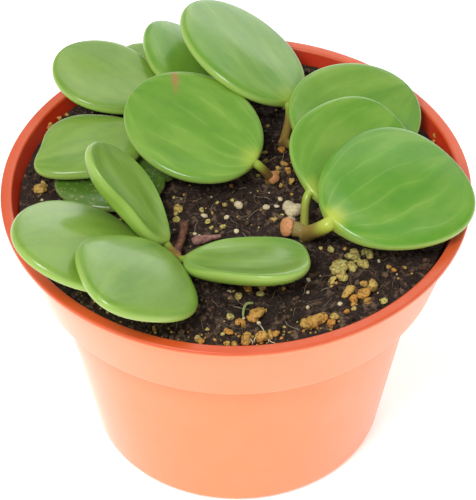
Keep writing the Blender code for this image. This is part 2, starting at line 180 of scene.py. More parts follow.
# Stems: their lines as points across, along and above the soil with the radius there
STEMS = {
    "stem_right": (
        (12.4, -11.2, -3.0, 1.2), (12.4, -11.2, 0.0, 1.2), (12.4, -11.3, 0.9, 1.35), (11.7, -11.3, 1.75, 1.4),
        (10.4, -10.9, 1.9, 1.4), (9.4, -10.75, 2.1, 1.5), (8.9, -11.0, 2.5, 1.7)),
    "stem_back": (
        (8.9, 13.8, -3.5, 1.0), (8.9, 13.8, -0.5, 1.0), (8.9, 13.9, 0.6, 1.15), (8.9, 14.1, 1.3, 0.8)),
    "stem_middle": (
        (6.3, 3.6, -3.2, 0.9), (6.3, 3.6, -0.2, 0.95), (6.4, 3.5, 0.7, 1.2), (6.7, 3.3, 1.3, 1.2),
        (6.9, 3.2, 1.6, 1.2)),
    "stem_front": (
        (-9.1, -8.3, -3.4, 0.6), (-9.1, -8.3, -0.4, 0.65), (-9.1, -8.5, 1.0, 0.7), (-9.2, -9.6, 1.8, 0.7),
        (-9.7, -13.0, 1.6, 0.65), (-10.5, -16.2, 1.6, 0.8), (-10.9, -17.5, 1.6, 1.15),
        (-11.1, -18.3, 1.6, 0.95)),
    "stem_left": (
        (-11.5, 10.5, -3.0, 1.1), (-11.5, 10.5, 0.0, 1.1), (-11.5, 10.6, 1.6, 1.15), (-11.4, 10.8, 3.4, 1.1),
        (-11.4, 10.8, 3.9, 0.6)),
    "stem_rear": (
        (-5.0, 15.5, -3.0, 1.0), (-5.0, 15.5, 0.0, 1.0), (-5.0, 15.6, 1.5, 1.05), (-5.0, 15.7, 3.2, 1.0),
        (-5.0, 15.7, 3.7, 0.5)),
}
# How reddish brown the stems are, where a young one is tan
RUDDINESS = {"stem_front": 1.0, "stem_middle": 0.35, "stem_back": 0.5, "stem_left": 0.7, "stem_rear": 0.7}
DRY_STEM = (
    (-7.9, -13.5, 1.2, 0.6), (-7.0, -13.2, 1.3, 0.85), (-5.6, -12.7, 1.2, 0.7), (-4.2, -12.2, 1.1, 0.45),
    (-2.8, -11.8, 1.0, 0.35))
STEM_SIDES = 20
# A cut end is closed by rings at these angles of a rounded knob, which stands out by this share of its radius
KNOB_ANGLES = (25, 50, 72)
KNOB_SHARE = 0.5

# Loose crumbs, grains and fibres: how many, how far from the axis they lie, and the least radius with what
# the largest has over it; a fibre's ends may lie a little further out than its middle
CRUMB_COUNT = 2400
CRUMB_REACH = 38.4
CRUMB_RADII = (0.16, 0.5)
PERLITE_COUNT = 90
VERMICULITE_COUNT = 190
GRAIN_REACH = 37.6
GRAIN_RADII = (0.14, 0.3)
FIBRE_COUNT = 900
FIBRE_REACH = 36.5
FIBRE_LIMIT = 37.8
# Small flakes of vermiculite have gathered along the wall at the front, between these angles from +X
GATHERED_COUNT = 100
GATHERED_ANGLES = (-145, -60)
GATHERED_REACH = (35.2, 38.3)
GATHERED_RADII = (0.13, 0.22)

# Perlite that lies on the open soil, across and along it, with its radius
PERLITE = (
    (9.4, -3.5, 1.25), (10.3, -4.7, 1.6), (9.8, -6.9, 0.75), (8.0, -1.4, 0.5), (7.3, -3.2, 0.45),
    (5.4, -4.0, 0.65), (0.4, -3.0, 0.9),
    (-5.7, -5.6, 0.6), (-1.7, -5.8, 0.55), (0.0, -10.2, 0.45), (12.5, -22.7, 0.45), (-7.4, -10.0, 0.35),
    (3.8, -33.3, 0.35), (12.3, -29.2, 0.35), (12.4, -25.2, 0.35), (1.2, -31.3, 0.35), (17.9, -28.5, 0.45),
)
# Vermiculite: the same, then how golden each flake is, where the weathered ones are a pale yellow green
VERMICULITE = (
    (20.6, -16.4, 1.2, 0.1), (21.4, -17.5, 0.7, 0.0), (23.1, -16.2, 1.1, 0.0), (22.4, -18.6, 1.0, 0.2),
    (19.1, -18.2, 0.8, 0.0), (19.9, -19.4, 1.0, 0.1), (17.8, -20.2, 1.4, 0.1), (18.2, -21.6, 1.0, 0.2),
    (16.8, -22.6, 0.7, 0.3), (16.7, -15.1, 0.7, 0.0), (22.3, -23.6, 0.8, 0.6), (23.9, -24.2, 1.2, 0.5),
    (19.4, -25.6, 1.1, 0.6), (20.4, -26.7, 0.9, 1.0), (22.0, -26.4, 1.2, 0.9), (22.7, -27.8, 0.7, 0.7),
    (20.4, -28.5, 0.5, 0.9), (20.2, -29.7, 0.45, 0.3), (19.0, -30.4, 0.55, 1.0), (25.6, -27.9, 0.6, 0.1),
    (27.5, -20.3, 0.55, 1.0), (26.8, -19.2, 0.45, 0.8), (13.5, -32.9, 1.7, 0.8), (12.1, -33.2, 1.1, 0.7),
    (14.8, -32.3, 1.1, 0.9), (16.3, -33.1, 0.9, 1.0), (16.7, -31.8, 0.7, 0.4), (3.5, -30.9, 1.35, 0.8),
    (2.7, -32.1, 0.9, 0.9), (4.6, -29.9, 0.7, 0.5), (0.6, -33.0, 0.9, 0.9), (-1.5, -35.1, 0.65, 1.0),
    (-2.4, -35.4, 0.5, 0.2), (-1.2, -31.4, 0.7, 0.1), (0.2, -26.1, 0.85, 0.2), (2.0, -24.3, 0.9, 1.0),
    (4.1, -25.7, 0.6, 0.1), (4.4, -24.2, 0.8, 0.3), (1.7, -37.3, 1.1, 0.8), (4.3, -37.1, 1.3, 0.8),
    (5.6, -36.2, 0.8, 0.6), (-0.4, -37.9, 0.6, 0.8), (-1.6, -37.9, 0.55, 0.6), (-6.9, -37.1, 0.65, 0.2),
    (-6.2, -37.8, 0.55, 1.0), (6.7, -35.6, 0.7, 0.9), (37.0, 15.8, 0.7, 0.9), (36.4, 14.0, 0.5, 0.9),
    (-35.6, 1.2, 1.0, 0.6), (-35.0, 2.6, 0.7, 0.4), (-34.6, 19.4, 0.7, 0.9), (-33.0, 21.4, 0.5, 0.8),
    (-31.6, 22.4, 0.5, 0.8), (6.5, 4.6, 0.95, 0.8), (8.5, 12.3, 0.8, 1.0), (8.8, 8.4, 0.7, 0.8),
    (9.5, 5.7, 0.7, 0.9), (10.0, 3.5, 0.7, 0.6), (8.3, 1.9, 0.5, 0.6), (-0.9, 2.5, 0.5, 1.0),
    (5.3, 11.2, 0.5, 0.5), (5.5, 9.0, 0.5, 0.6), (7.6, 6.6, 0.5, 0.6), (-10.4, -3.5, 0.85, 0.4),
    (-10.9, -4.7, 0.6, 0.1), (-10.7, -6.8, 0.65, 0.2), (-6.3, -4.2, 0.5, 0.1), (-5.1, -7.4, 0.55, 0.15),
    (-2.0, -2.6, 0.45, 0.3), (-2.4, -8.2, 0.55, 0.1), (-4.5, -8.7, 0.4, 0.2), (6.6, -6.6, 0.6, 0.4),
    (-27.5, -29.6, 0.5, 0.9), (-25.3, -31.4, 0.7, 0.6), (-23.6, -33.2, 0.5, 0.9), (-20.1, -35.0, 0.5, 0.5),
)
# Pale root threads and a green moss stem on the soil: radius, height over it, how green, points along each
THREADS = (
    (0.08, 0.5, 0.0, (
        (3.8, -33.3), (4.1, -33.7), (4.5, -34.7), (4.9, -35.8), (5.4, -37.2), (5.9, -37.8), (6.7, -37.8))),
    (0.09, 1.2, 0.0, (
        (2.9, -37.9), (3.0, -37.2), (3.6, -36.8), (4.1, -36.5), (4.6, -36.8), (5.2, -37.2), (5.5, -37.9))),
    (0.09, 1.0, 0.0, (
        (0.8, -38.2), (0.9, -38.0), (1.2, -37.6), (1.6, -37.3), (2.1, -37.3), (2.6, -37.7), (2.7, -38.2))),
    (0.26, 0.4, 1.0, (
        (1.1, -31.4), (1.1, -30.3), (1.3, -29.2), (1.6, -28.5), (2.0, -28.2), (2.4, -28.1), (2.9, -28.0))),
)

# The stage: each light's place and its width and height, and the point that all of them face
LIGHTS = {
    "key": ("key_softbox", (-160, -320, 560), (220, 220)),
    "window": ("window", (140, 660, 210), (500, 320)),
    "back": ("back_softbox", (160, 550, 540), (500, 500)),
}
LIGHTS_AIM = (0, 0, 50)
STAGE_REACH = 3000
# The floor lies a hair under the pot's base, so that the two don't flicker into each other
STAGE_DROP = 0.05
# The aim, tilt, distance and lens put the pot's rim and foot where the photograph has them; the focal length
# is in pixels of the photograph, whose longer side fills the sensor
CAMERA_AIM = (0.27, 0.0, 38.94)
CAMERA_TILT = math.radians(43.4)
CAMERA_ROLL = math.radians(-0.35)
CAMERA_DISTANCE = 510
FOCAL_PIXELS = 2764.8
PHOTO_PIXELS = 500
SENSOR = 36


def linear(colour):
    """Turns an sRGB hex colour into the linear red, green and blue that a shader works with."""
    srgb = np.array([int(colour[i:i + 2], 16) for i in (1, 3, 5)]) / 255
    return tuple(float(x) for x in np.where(srgb <= 0.04045, srgb / 12.92, ((srgb + 0.055) / 1.055) ** 2.4))


def colour_property(name, description, colour):
    """A colour that a user may change, with an sRGB hex default."""
    return FloatVectorProperty(
        name=name, description=description, subtype="COLOR", size=3, min=0, max=1, default=linear(colour))


def share_property(name, description, default):
    """A share from 0 to 1."""
    return FloatProperty(
        name=name, description=description, subtype="FACTOR", min=0, max=1, default=default)


def length_property(name, description, default):
    """A length whose default is in millimetres."""
    return FloatProperty(
        name=name, description=description, subtype="DISTANCE", unit="LENGTH", min=0, default=default * MM)


def power_property(name, description, default):
    """A light's power in watts."""
    return FloatProperty(
        name=name, description=description, subtype="POWER", unit="POWER", min=0, default=default)


def strength_property(name, description, default):
    """The strength of a surface that shines."""
    return FloatProperty(name=name, description=description, min=0, default=default)


class PotSettings(PropertyGroup):
    """Colours and finish of the pot"""

    plastic: colour_property("Plastic", "Colour of the moulded pot", "#C94E1E")
    # The outer wall's colour is the plastic painted paler: painted light for the strong light on that wall
    painted_wall_light: colour_property("Plastic painted paler for light", "Paler colour of the outer wall", "#E8844A")
    # The inner wall's deeper, darker red is painted shade
    shaded: colour_property("Inner wall", "Deeper colour where light has passed through the wall", "#C02E10")
    roughness: share_property("Roughness", "Roughness of the moulded surface", 0.38)
    rounding: length_property("Lip rounding", "Radius of the lip's edges", 0.4)


class SoilSettings(PropertyGroup):
    """Colours of the soil and its grains"""

    peat: colour_property("Peat", "Colour of damp peat", "#2C211B")
    dry_peat: colour_property("Dry peat", "Colour of the drier crumbs", "#745E4B")
    fibre: colour_property("Fibre", "Colour of the fine plant fibres", "#7A6450")
    perlite: colour_property("Perlite", "Colour of the expanded perlite", "#DCCFAC")
    vermiculite: colour_property("Vermiculite", "Colour of the golden vermiculite flakes", "#C48A34")
    weathered: colour_property("Pale vermiculite", "Colour of the weathered vermiculite flakes", "#BDB868")
    relief: length_property("Relief", "Height of the crumbs in the surface", 0.65)


class LeafSettings(PropertyGroup):
    """Colours, finish and thickness of the leaves"""

    green: colour_property("Green", "Colour of a young, saturated leaf", "#528B10")
    pale: colour_property("Pale green", "Colour of an older, greyer leaf", "#78953A")
    vein: colour_property("Vein", "Colour of the veins", "#9DBF55")
    throat: colour_property("Throat", "Colour where the stalk meets the blade", "#A9B842")
    stalk: colour_property("Stalk", "Colour of a brown leaf stalk", "#92703A")
    under: colour_property("Underside", "Colour of the underside", "#7FA23C")
    roughness: share_property("Roughness", "Roughness of the leaf under its wax", 0.4)
    wax: share_property("Wax", "How plain the smooth wax layer is", 0.5)
    swelling: share_property("Swelling", "Thickness of the blades as a share of their own", 1.0)


class StemSettings(PropertyGroup):
    """Colours of the stems"""

    bark: colour_property("Stem", "Colour of the youngest fleshy stem", "#8C8046")
    ruddy: colour_property("Old stem", "Colour of the older, reddish stems", "#4C231B")
    cut: colour_property("Cut end", "Colour of the callused cut ends", "#C58858")
    dry: colour_property("Dry stem", "Colour of the dry piece of stem", "#80544A")


class StageSettings(PropertyGroup):
    """The floor, the surround and the lights"""

    floor: colour_property("Floor", "Colour of the floor", "#FFFFFF")
    glow: strength_property("Floor glow", "Light that comes up through the floor", 0.35)
    surround: strength_property("Surround", "Strength of the white surround", 0.68)
    key: power_property("Key light", "Power of the softbox above the viewer's left", 2.6)
    window: power_property("Window", "Power of the low, wide light behind the plant", 0.8)
    back: power_property("Back light", "Power of the high softbox behind the plant", 0.9)


class PeperomiaSettings(PropertyGroup):
    """All the settings of this object"""

    pot: PointerProperty(type=PotSettings)
    soil: PointerProperty(type=SoilSettings)
    leaf: PointerProperty(type=LeafSettings)
    stem: PointerProperty(type=StemSettings)
    stage: PointerProperty(type=StageSettings)


# Settings that many nodes share
EASED = {"interpolation_type": "SMOOTHSTEP"}
TIMES = {"operation": "MULTIPLY"}


def add(tree, kind, inputs=None, output=0, **settings):
    """Adds one node with its settings, sets or links its inputs, and gives its output."""
    node = tree.nodes.new("ShaderNode" + kind)
    for name, value in settings.items():
        setattr(node, name, value)
    for key, value in (inputs or {}).items():
        if isinstance(value, bpy.types.NodeSocket):
            tree.links.new(value, node.inputs[key])
        elif node.inputs[key].type == "RGBA":
            node.inputs[key].default_value = (*value, 1.0)
        else:
            node.inputs[key].default_value = value
    return node.outputs[output]


def new_material(name, **surface):
    """A Principled material; surface holds its constant inputs, with underscores for spaces."""
    material = bpy.data.materials.new(name)
    material.use_nodes = True
    shader = material.node_tree.nodes["Principled BSDF"]
    for key, value in surface.items():
        shader.inputs[key.replace("_", " ")].default_value = value
    return material, material.node_tree, shader


def blotches(tree, size, low, high, detail=3.0, most=1.0):
    """Noise with blotches of about that size in mm, eased from 0 where it is low to most where it is high."""
    place = add(tree, "TexCoord", output="Object")
    clouds = add(tree, "TexNoise", {
        "Vector": place, "Scale": 1 / (size * MM), "Detail": detail, "Roughness": 0.55})
    return add(tree, "MapRange", {0: clouds, 1: low, 2: high, 4: most}, **EASED)


def painted(tree, base, layers):
    """Lays colours over a base in order, each by its own share from 0 to 1."""
    for share, colour in layers:
        base = add(tree, "Mix", {0: share, 6: base, 7: colour}, 2, data_type="RGBA")
    return base


def finish_surface(tree, shader, base, grain, depth, strength):
    """Gives the shader its colour and a bump whose height is the grain, with that depth in mm."""
    tree.links.new(base, shader.inputs["Base Color"])
    normal = add(tree, "Bump", {"Height": grain, "Strength": strength, "Distance": depth * MM})
    tree.links.new(normal, shader.inputs["Normal"])


def moulded_polypropylene(settings, name, sheen, outer, inner):
    """Injection-moulded polypropylene: satin, and so thin that light spreads in it; the outer colour goes on
    the outer wall, where it is the plastic painted paler, as painted light.
    """
    material, tree, shader = new_material(
        name, Roughness=settings.roughness, IOR=1.49, Subsurface_Weight=0.15, Subsurface_Scale=0.002,
        Sheen_Weight=sheen, Sheen_Roughness=0.28)
    shader.inputs["Sheen Tint"].default_value = (1.0, 0.84, 0.80, 1.0)
    base = painted(tree, inner, [
        # The outer wall takes the outer colour, which on the wall is the plastic painted paler, as painted
        # light
        (add(tree, "Attribute", output="Fac", attribute_name="outer"), outer),
        (blotches(tree, 9.0, 0.35, 0.7, most=0.06), linear("#F6B193")),
    ])
    # The moulded skin has a faint peel, finer than a millimetre
    finish_surface(tree, shader, base, blotches(tree, 0.7, 0.0, 1.0, 2.0), 0.05, 0.08)
    return material


def damp_peat(settings):
    """Damp milled peat: nearly black, crumbly and matte, with drier crumbs and a few reddish bits."""
    material, tree, shader = new_material("Damp milled peat", Roughness=0.82, IOR=1.4)
    shader.inputs["Specular IOR Level"].default_value = 0.35
    dryness = add(tree, "Attribute", output="Fac", attribute_name="dryness")
    base = painted(tree, settings.peat, [
        (blotches(tree, 1.4, 0.5, 0.72, 6.0), settings.dry_peat),
        (dryness, settings.dry_peat),
        (blotches(tree, 0.9, 0.6, 0.7, 3.0, 0.5), linear("#7A4530")),
        (blotches(tree, 0.35, 0.62, 0.75, 2.0, 0.5), settings.fibre),
    ])
    finish_surface(tree, shader, base, blotches(tree, 0.5, 0.0, 1.0, 5.0), 0.4, 0.9)
    return material


def grain_material(name, colour, tint, pit_shade):
    """A grain of mineral expanded by heat: matte, with dark brown blotches painted as shade in its pits, and
    each with its own share of two colours.
    """
    material, tree, shader = new_material(name, Roughness=0.75, IOR=1.5)
    base = painted(tree, colour, [
        (add(tree, "Attribute", output="Fac", attribute_name="gold"), tint),
        (blotches(tree, 1.2, 0.45, 0.65, 2.0, 0.35), tint),
        # Dark brown blotches, painted shade in the grain's pits
        (blotches(tree, 0.45, 0.52, 0.38, 4.0, pit_shade), linear("#5A3C1E")),
    ])
    finish_surface(tree, shader, base, blotches(tree, 0.3, 0.0, 1.0), 0.25, 0.8)
    return material


def plant_fibre(settings):
    """Fine dead roots and moss stems in the peat: from dark brown over tan to nearly white, matte."""
    material, tree, shader = new_material("Dead root fibre", Roughness=0.8)
    pale = add(tree, "Attribute", output="Fac", attribute_name="pale")
    base = painted(tree, linear("#2E211A"), [
        (add(tree, "MapRange", {0: pale, 2: 0.6}), settings.fibre),
        (add(tree, "MapRange", {0: pale, 1: 0.6}), linear("#D8CBA6")),
        (add(tree, "Attribute", output="Fac", attribute_name="greenness"), linear("#8C9A5A")),
    ])
    tree.links.new(base, shader.inputs["Base Color"])
    return material


def waxy_leaf(settings):
    """A thick leaf under a smooth wax layer: green lit from within, with veins that show as paler lines.

    The value across runs from -1 to 1 between the margins, so lines of one value meet at the foot and the
    tip, as the veins do. A vein lies at each third of it, and a point's distance from that in mm is the
    difference times the half width. The wax gives narrow bright lines on the rounded margins and a pale sheen
    on the faces that lean to the light; a pale line along the margins adds a painted highlight to them.
    """
    material, tree, shader = new_material(
        "Waxy leaf", Roughness=settings.roughness, IOR=1.45, Coat_Weight=settings.wax, Coat_Roughness=0.17,
        Coat_IOR=1.45, Specular_IOR_Level=0.3, Subsurface_Weight=0.12, Subsurface_Scale=0.0015)
    shader.inputs["Subsurface Radius"].default_value = (0.6, 1.0, 0.25)
    names = (
        "across", "along", "half_width", "face", "tone", "veins", "throat", "edge", "brown", "scar", "dust",
        "seed")
    own = {name: add(tree, "Attribute", output="Fac", attribute_name=name) for name in names}
    along, half = own["along"], own["half_width"]

    # The veins wander a little, and fade towards the tip and here and there on their way
    wander = blotches(tree, 12.0, 0.0, 1.0, 1.0, 0.3)
    across = add(tree, "Math", {0: own["across"], 1: wander}, operation="ADD")
    thirds = add(tree, "Math", {0: across, 1: 3.0}, **TIMES)
    nearest = add(tree, "Math", {0: thirds, 1: 0.5}, operation="PINGPONG")
    third_width = add(tree, "Math", {0: half, 1: 3.0}, operation="DIVIDE")
    distance = add(tree, "Math", {0: nearest, 1: third_width}, **TIMES)
    reach = add(tree, "MapRange", {0: along, 1: 0.45, 2: 0.95, 3: 1.0, 4: 0.0}, **EASED)
    plain = add(tree, "Math", {0: own["veins"], 1: reach}, **TIMES)
    plain = add(tree, "Math", {0: plain, 1: blotches(tree, 7.0, 0.3, 0.55, most=0.8)}, **TIMES)
    # Each vein is a thin line in a wide, weak band, given by where they start and end to fade, in mm
    thin = add(tree, "MapRange", {0: distance, 1: 0.06, 2: 0.36, 3: 0.24, 4: 0.0}, **EASED)
    wide = add(tree, "MapRange", {0: distance, 1: 0.1, 2: 1.6, 3: 0.12, 4: 0.0}, **EASED)
    thin = add(tree, "Math", {0: thin, 1: plain}, **TIMES)
    wide = add(tree, "Math", {0: wide, 1: plain}, **TIMES)

    # Soft streaks run along the blade between the veins, some 3 mm wide and four times as long
    sideways = add(tree, "Math", {0: own["across"], 1: 2.6}, **TIMES)
    lengthwise = add(tree, "Math", {0: along, 1: 1.7}, **TIMES)
    flow = add(tree, "CombineXYZ", {"X": sideways, "Y": lengthwise, "Z": own["seed"]})
    streak = add(tree, "TexNoise", {"Vector": flow, "Scale": 1.0, "Detail": 3.0, "Roughness": 0.5})
    light_streak = add(tree, "MapRange", {0: streak, 1: 0.48, 2: 0.70, 4: 0.34}, **EASED)
    dark_streak = add(tree, "MapRange", {0: streak, 1: 0.50, 2: 0.30, 4: 0.34}, **EASED)

    underside = add(tree, "MapRange", {0: own["face"], 1: 0.25, 2: -0.05}, **EASED)
    stalk = painted(tree, linear("#8A9636"), [(own["brown"], settings.stalk)])
    on_stalk = add(tree, "MapRange", {0: along, 1: -0.02, 2: -0.5}, **EASED)
    specks = add(tree, "Math", {0: own["dust"], 1: blotches(tree, 0.7, 0.55, 0.68)}, **TIMES)
    base = painted(tree, settings.green, [
        (own["tone"], settings.pale),
        (blotches(tree, 7.0, 0.45, 0.7, 2.0, 0.25), settings.pale),
        (blotches(tree, 1.4, 0.35, 0.7, 4.0, 0.12), linear("#3F741C")),
        (dark_streak, linear("#3B7410")),
        (light_streak, linear("#86A844")),
        (wide, settings.vein),
        (thin, settings.vein),
        (underside, settings.under),
        # A pale line along the margin: partly the margin's own paler green, partly a painted highlight on the
        # rim
        (own["edge"], linear("#A4C062")),
        (own["throat"], settings.throat),
        (on_stalk, stalk),
        (own["scar"], linear("#A5684A")),
        # On the lowest leaf this share lays a dark green over it as painted shade; its pale specks below are
        # the peat dust
        (own["dust"], linear("#33451F")),
        (specks, linear("#A29A72")),
    ])
    # The veins lie a little under the surface around them, and the wax has a fine grain
    grain = blotches(tree, 0.9, 0.0, 1.0, most=0.25)
    relief = add(tree, "Math", {0: grain, 1: wide}, operation="SUBTRACT")
    finish_surface(tree, shader, base, relief, 0.12, 0.4)
    return material


def fleshy_stem(settings):
    """A fleshy stem: satin, greenish tan to reddish brown, with a callus over its cut end and dark scars."""
    material, tree, shader = new_material(
        "Fleshy stem", Roughness=0.5, IOR=1.42, Subsurface_Weight=0.1, Subsurface_Scale=0.001)
    along = add(tree, "Attribute", output="Fac", attribute_name="along")
    base = painted(tree, settings.bark, [
        (add(tree, "Attribute", output="Fac", attribute_name="ruddy"), settings.ruddy),
        (blotches(tree, 1.2, 0.4, 0.65, 4.0, 0.5), linear("#8A6238")),
        (add(tree, "MapRange", {0: along, 1: 0.88, 2: 0.95}), settings.cut),
        (blotches(tree, 0.6, 0.55, 0.7, 3.0, 0.3), linear("#5E3422")),
    ])
    finish_surface(tree, shader, base, blotches(tree, 0.5, 0.0, 1.0, 4.0), 0.3, 0.6)
    return material


def dry_stem_material(settings):
    """A dead, dried piece of stem: matte, pinkish brown and wrinkled lengthwise."""
    material, tree, shader = new_material("Dried stem", Roughness=0.78)
    base = painted(tree, settings.dry, [(blotches(tree, 0.8, 0.4, 0.65, 4.0), linear("#9C7468"))])
    finish_surface(tree, shader, base, blotches(tree, 0.4, 0.0, 1.0, 4.0), 0.3, 0.9)
    return material


def shell_faces(shells, rings, sides):
    """Faces of closed shells; the points of each are a first pole, rings x sides points and a last pole."""
    ring, side = np.meshgrid(np.arange(rings - 1), np.arange(sides), indexing="ij")
    here = 1 + ring * sides + side
    beside = 1 + ring * sides + (side + 1) % sides
    quads = np.stack([here, beside, beside + sides, here + sides], axis=-1).reshape(-1, 4)
    side = np.arange(sides)
    after = (side + 1) % sides
    end = 1 + (rings - 1) * sides
    first_fan = np.stack([np.zeros(sides, int), 1 + after, 1 + side], axis=-1)
    last_fan = np.stack([end + side, end + after, np.full(sides, end + sides)], axis=-1)
    fans = np.concatenate([first_fan, last_fan])
    shift = np.arange(shells)[:, None, None] * (rings * sides + 2)
    return (quads + shift).reshape(-1, 4), (fans + shift).reshape(-1, 3)


def outward(points, quads, fans):
    """The same faces, all turned round if the volume that they enclose comes out negative."""
    triangles = np.concatenate([quads[:, :3], quads[:, [0, 2, 3]], fans])
    corner = points[triangles]
    if np.einsum("ij,ij->i", corner[:, 0], np.cross(corner[:, 1], corner[:, 2])).sum() < 0:
        return quads[:, ::-1], fans[:, ::-1]
    return quads, fans


def add_piece(name, points, faces, material, nodes=(), values=None):
    """Makes a mesh at the origin of points in mm and faces, with its values as attributes, and seats it."""
    mesh = bpy.data.meshes.new(name)
    mesh.from_pydata((points * MM).tolist(), [], faces)
    mesh.shade_smooth()
    for key, numbers in (values or {}).items():
        attribute = mesh.attributes.new(key, "FLOAT", "POINT")
        attribute.data.foreach_set("value", np.ascontiguousarray(numbers, np.float32).ravel())
    mesh.materials.append(material)
    piece = bpy.data.objects.new(name, mesh)
    bpy.context.scene.collection.objects.link(piece)
    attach(piece, "root")
    if nodes:
        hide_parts(*nodes)
    return piece


def add_shells(name, rings, first, last, material, slot, nodes=(), values=None):
    """A piece of one or more closed shells: rings is shells x rings x sides x 3, the poles are shells x 3.

    Each value is one number for all, or one for each shell, or (rings' numbers, first pole's, last pole's),
    which broadcast to those shapes.
    """
    shells, count, sides, _ = rings.shape
    points = np.concatenate(
        [first[:, None], rings.reshape(shells, -1, 3), last[:, None]], axis=1).reshape(-1, 3)
    quads, fans = outward(points, *shell_faces(shells, count, sides))
    filled = {}
    for key, numbers in (values or {}).items():
        if not isinstance(numbers, tuple):
            each = np.broadcast_to(numbers, shells)[:, None]
            numbers = each[..., None], each, each
        middle, start, end = numbers
        filled[key] = np.concatenate([
            np.broadcast_to(start, (shells, 1)),
            np.broadcast_to(middle, (shells, count, sides)).reshape(shells, -1),
            np.broadcast_to(end, (shells, 1))], axis=1)
    return add_piece(name, points, quads.tolist() + fans.tolist(), material, nodes, filled)


def unit(vectors):
    """Vectors divided by their lengths."""
    return vectors / np.linalg.norm(vectors, axis=-1, keepdims=True)


def smooth_step(value, low, high):
    """From 0 at low to 1 at high: with t the share of the way, 3 t^2 - 2 t^3."""
    share = np.clip((value - low) / (high - low), 0, 1)
    return share * share * (3 - 2 * share)


def turned(first, second, angle):
    """Two coordinates turned by an angle: first cos - second sin, and first sin + second cos."""
    cosine, sine = np.cos(angle), np.sin(angle)
    return first * cosine - second * sine, first * sine + second * cosine


def placement(right, up, back, place):
    """The matrix that puts an object at a place, with its X, Y and Z along right, up and back."""
    matrix = np.eye(4)
    matrix[:3] = np.stack([right, up, back, place], axis=1)
    return Matrix(matrix.tolist())


def around(paths, radii, sides, reference):
    """Rings of points round paths: at each station the section lies across the path's direction.

    The section's first axis is the reference with its part along the path taken out, and the second is at
    right angles to both. paths is shells x stations x 3 and radii is shells x stations, or also x sides.
    """
    direction = unit(np.gradient(paths, axis=1))
    reference = np.broadcast_to(reference, direction.shape)
    first = unit(reference - (reference * direction).sum(-1, keepdims=True) * direction)
    second = np.cross(direction, first)
    angle = np.arange(sides) / sides * TAU
    cosine, sine = np.cos(angle)[:, None], np.sin(angle)[:, None]
    section = first[:, :, None] * cosine + second[:, :, None] * sine
    radii = radii[..., None] if radii.ndim == 2 else radii
    return paths[:, :, None] + section * radii[..., None]


def lattice_noise(x, y, cell, seed):
    """Smooth random heights from -1 to 1: values on a square lattice, eased between its corners."""
    values = np.random.default_rng(seed).uniform(-1, 1, (256, 256))
    column, row = x / cell + 128, y / cell + 128
    i, j = np.floor(column).astype(int), np.floor(row).astype(int)
    u, v = smooth_step(column - i, 0, 1), smooth_step(row - j, 0, 1)
    low = values[i % 256, j % 256] * (1 - u) + values[(i + 1) % 256, j % 256] * u
    high = values[i % 256, (j + 1) % 256] * (1 - u) + values[(i + 1) % 256, (j + 1) % 256] * u
    return low * (1 - v) + high * v


def soil_height(x, y, relief):
    """The soil's level plus relief times noise of 5, 2, 1 and half a millimetre, weaker at the wall."""
    height = 0.5 * lattice_noise(x, y, 5.0, 1) + 0.5 * lattice_noise(x, y, 2.1, 2)
    height += 0.45 * (1 - 2 * np.abs(lattice_noise(x, y, 1.1, 3))) + 0.25 * lattice_noise(x, y, 0.5, 4)
    return SOIL_LEVEL - 0.1 + relief * height * (1 - 0.4 * smooth_step(np.hypot(x, y), 36, 39))


def on_soil(points):
    """Points given across, along and above the soil, in the pot's own frame."""
    return np.asarray(points, float) + np.array([0, 0, SOIL_LEVEL])


def leaf_rotation(heading, rise, roll):
    """Rolls about X, then lifts the tip by rise about Y, then turns to the heading about Z."""
    angles = np.radians((heading, rise, roll))
    (ch, cr, cl), (sh, sr, sl) = np.cos(angles), np.sin(angles)
    about_x = np.array([[1, 0, 0], [0, cl, -sl], [0, sl, cl]])
    about_y = np.array([[cr, 0, -sr], [0, 1, 0], [sr, 0, cr]])
    about_z = np.array([[ch, -sh, 0], [sh, ch, 0], [0, 0, 1]])
    return about_z @ about_y @ about_x


def rounded_profile(corners, steps=5):
    """A line of (radius, height) through corners of (radius, height, rounding).

    A rounded corner c is bent on (1 - t)^2 a + 2 t (1 - t) c + t^2 b, from a to b at its rounding from it.
    """
    corners = np.array(corners, float)
    line = [corners[0, :2]]
    for before, corner, after in zip(corners[:-2], corners[1:-1], corners[2:]):
        if corner[2] == 0:
            line.append(corner[:2])
            continue
        start = corner[:2] + unit(before[:2] - corner[:2]) * corner[2]
        end = corner[:2] + unit(after[:2] - corner[:2]) * corner[2]
        t = np.linspace(0, 1, steps)[:, None]
        line.extend((1 - t) ** 2 * start + 2 * t * (1 - t) * corner[:2] + t**2 * end)
    return np.array(line + [corners[-1, :2]])


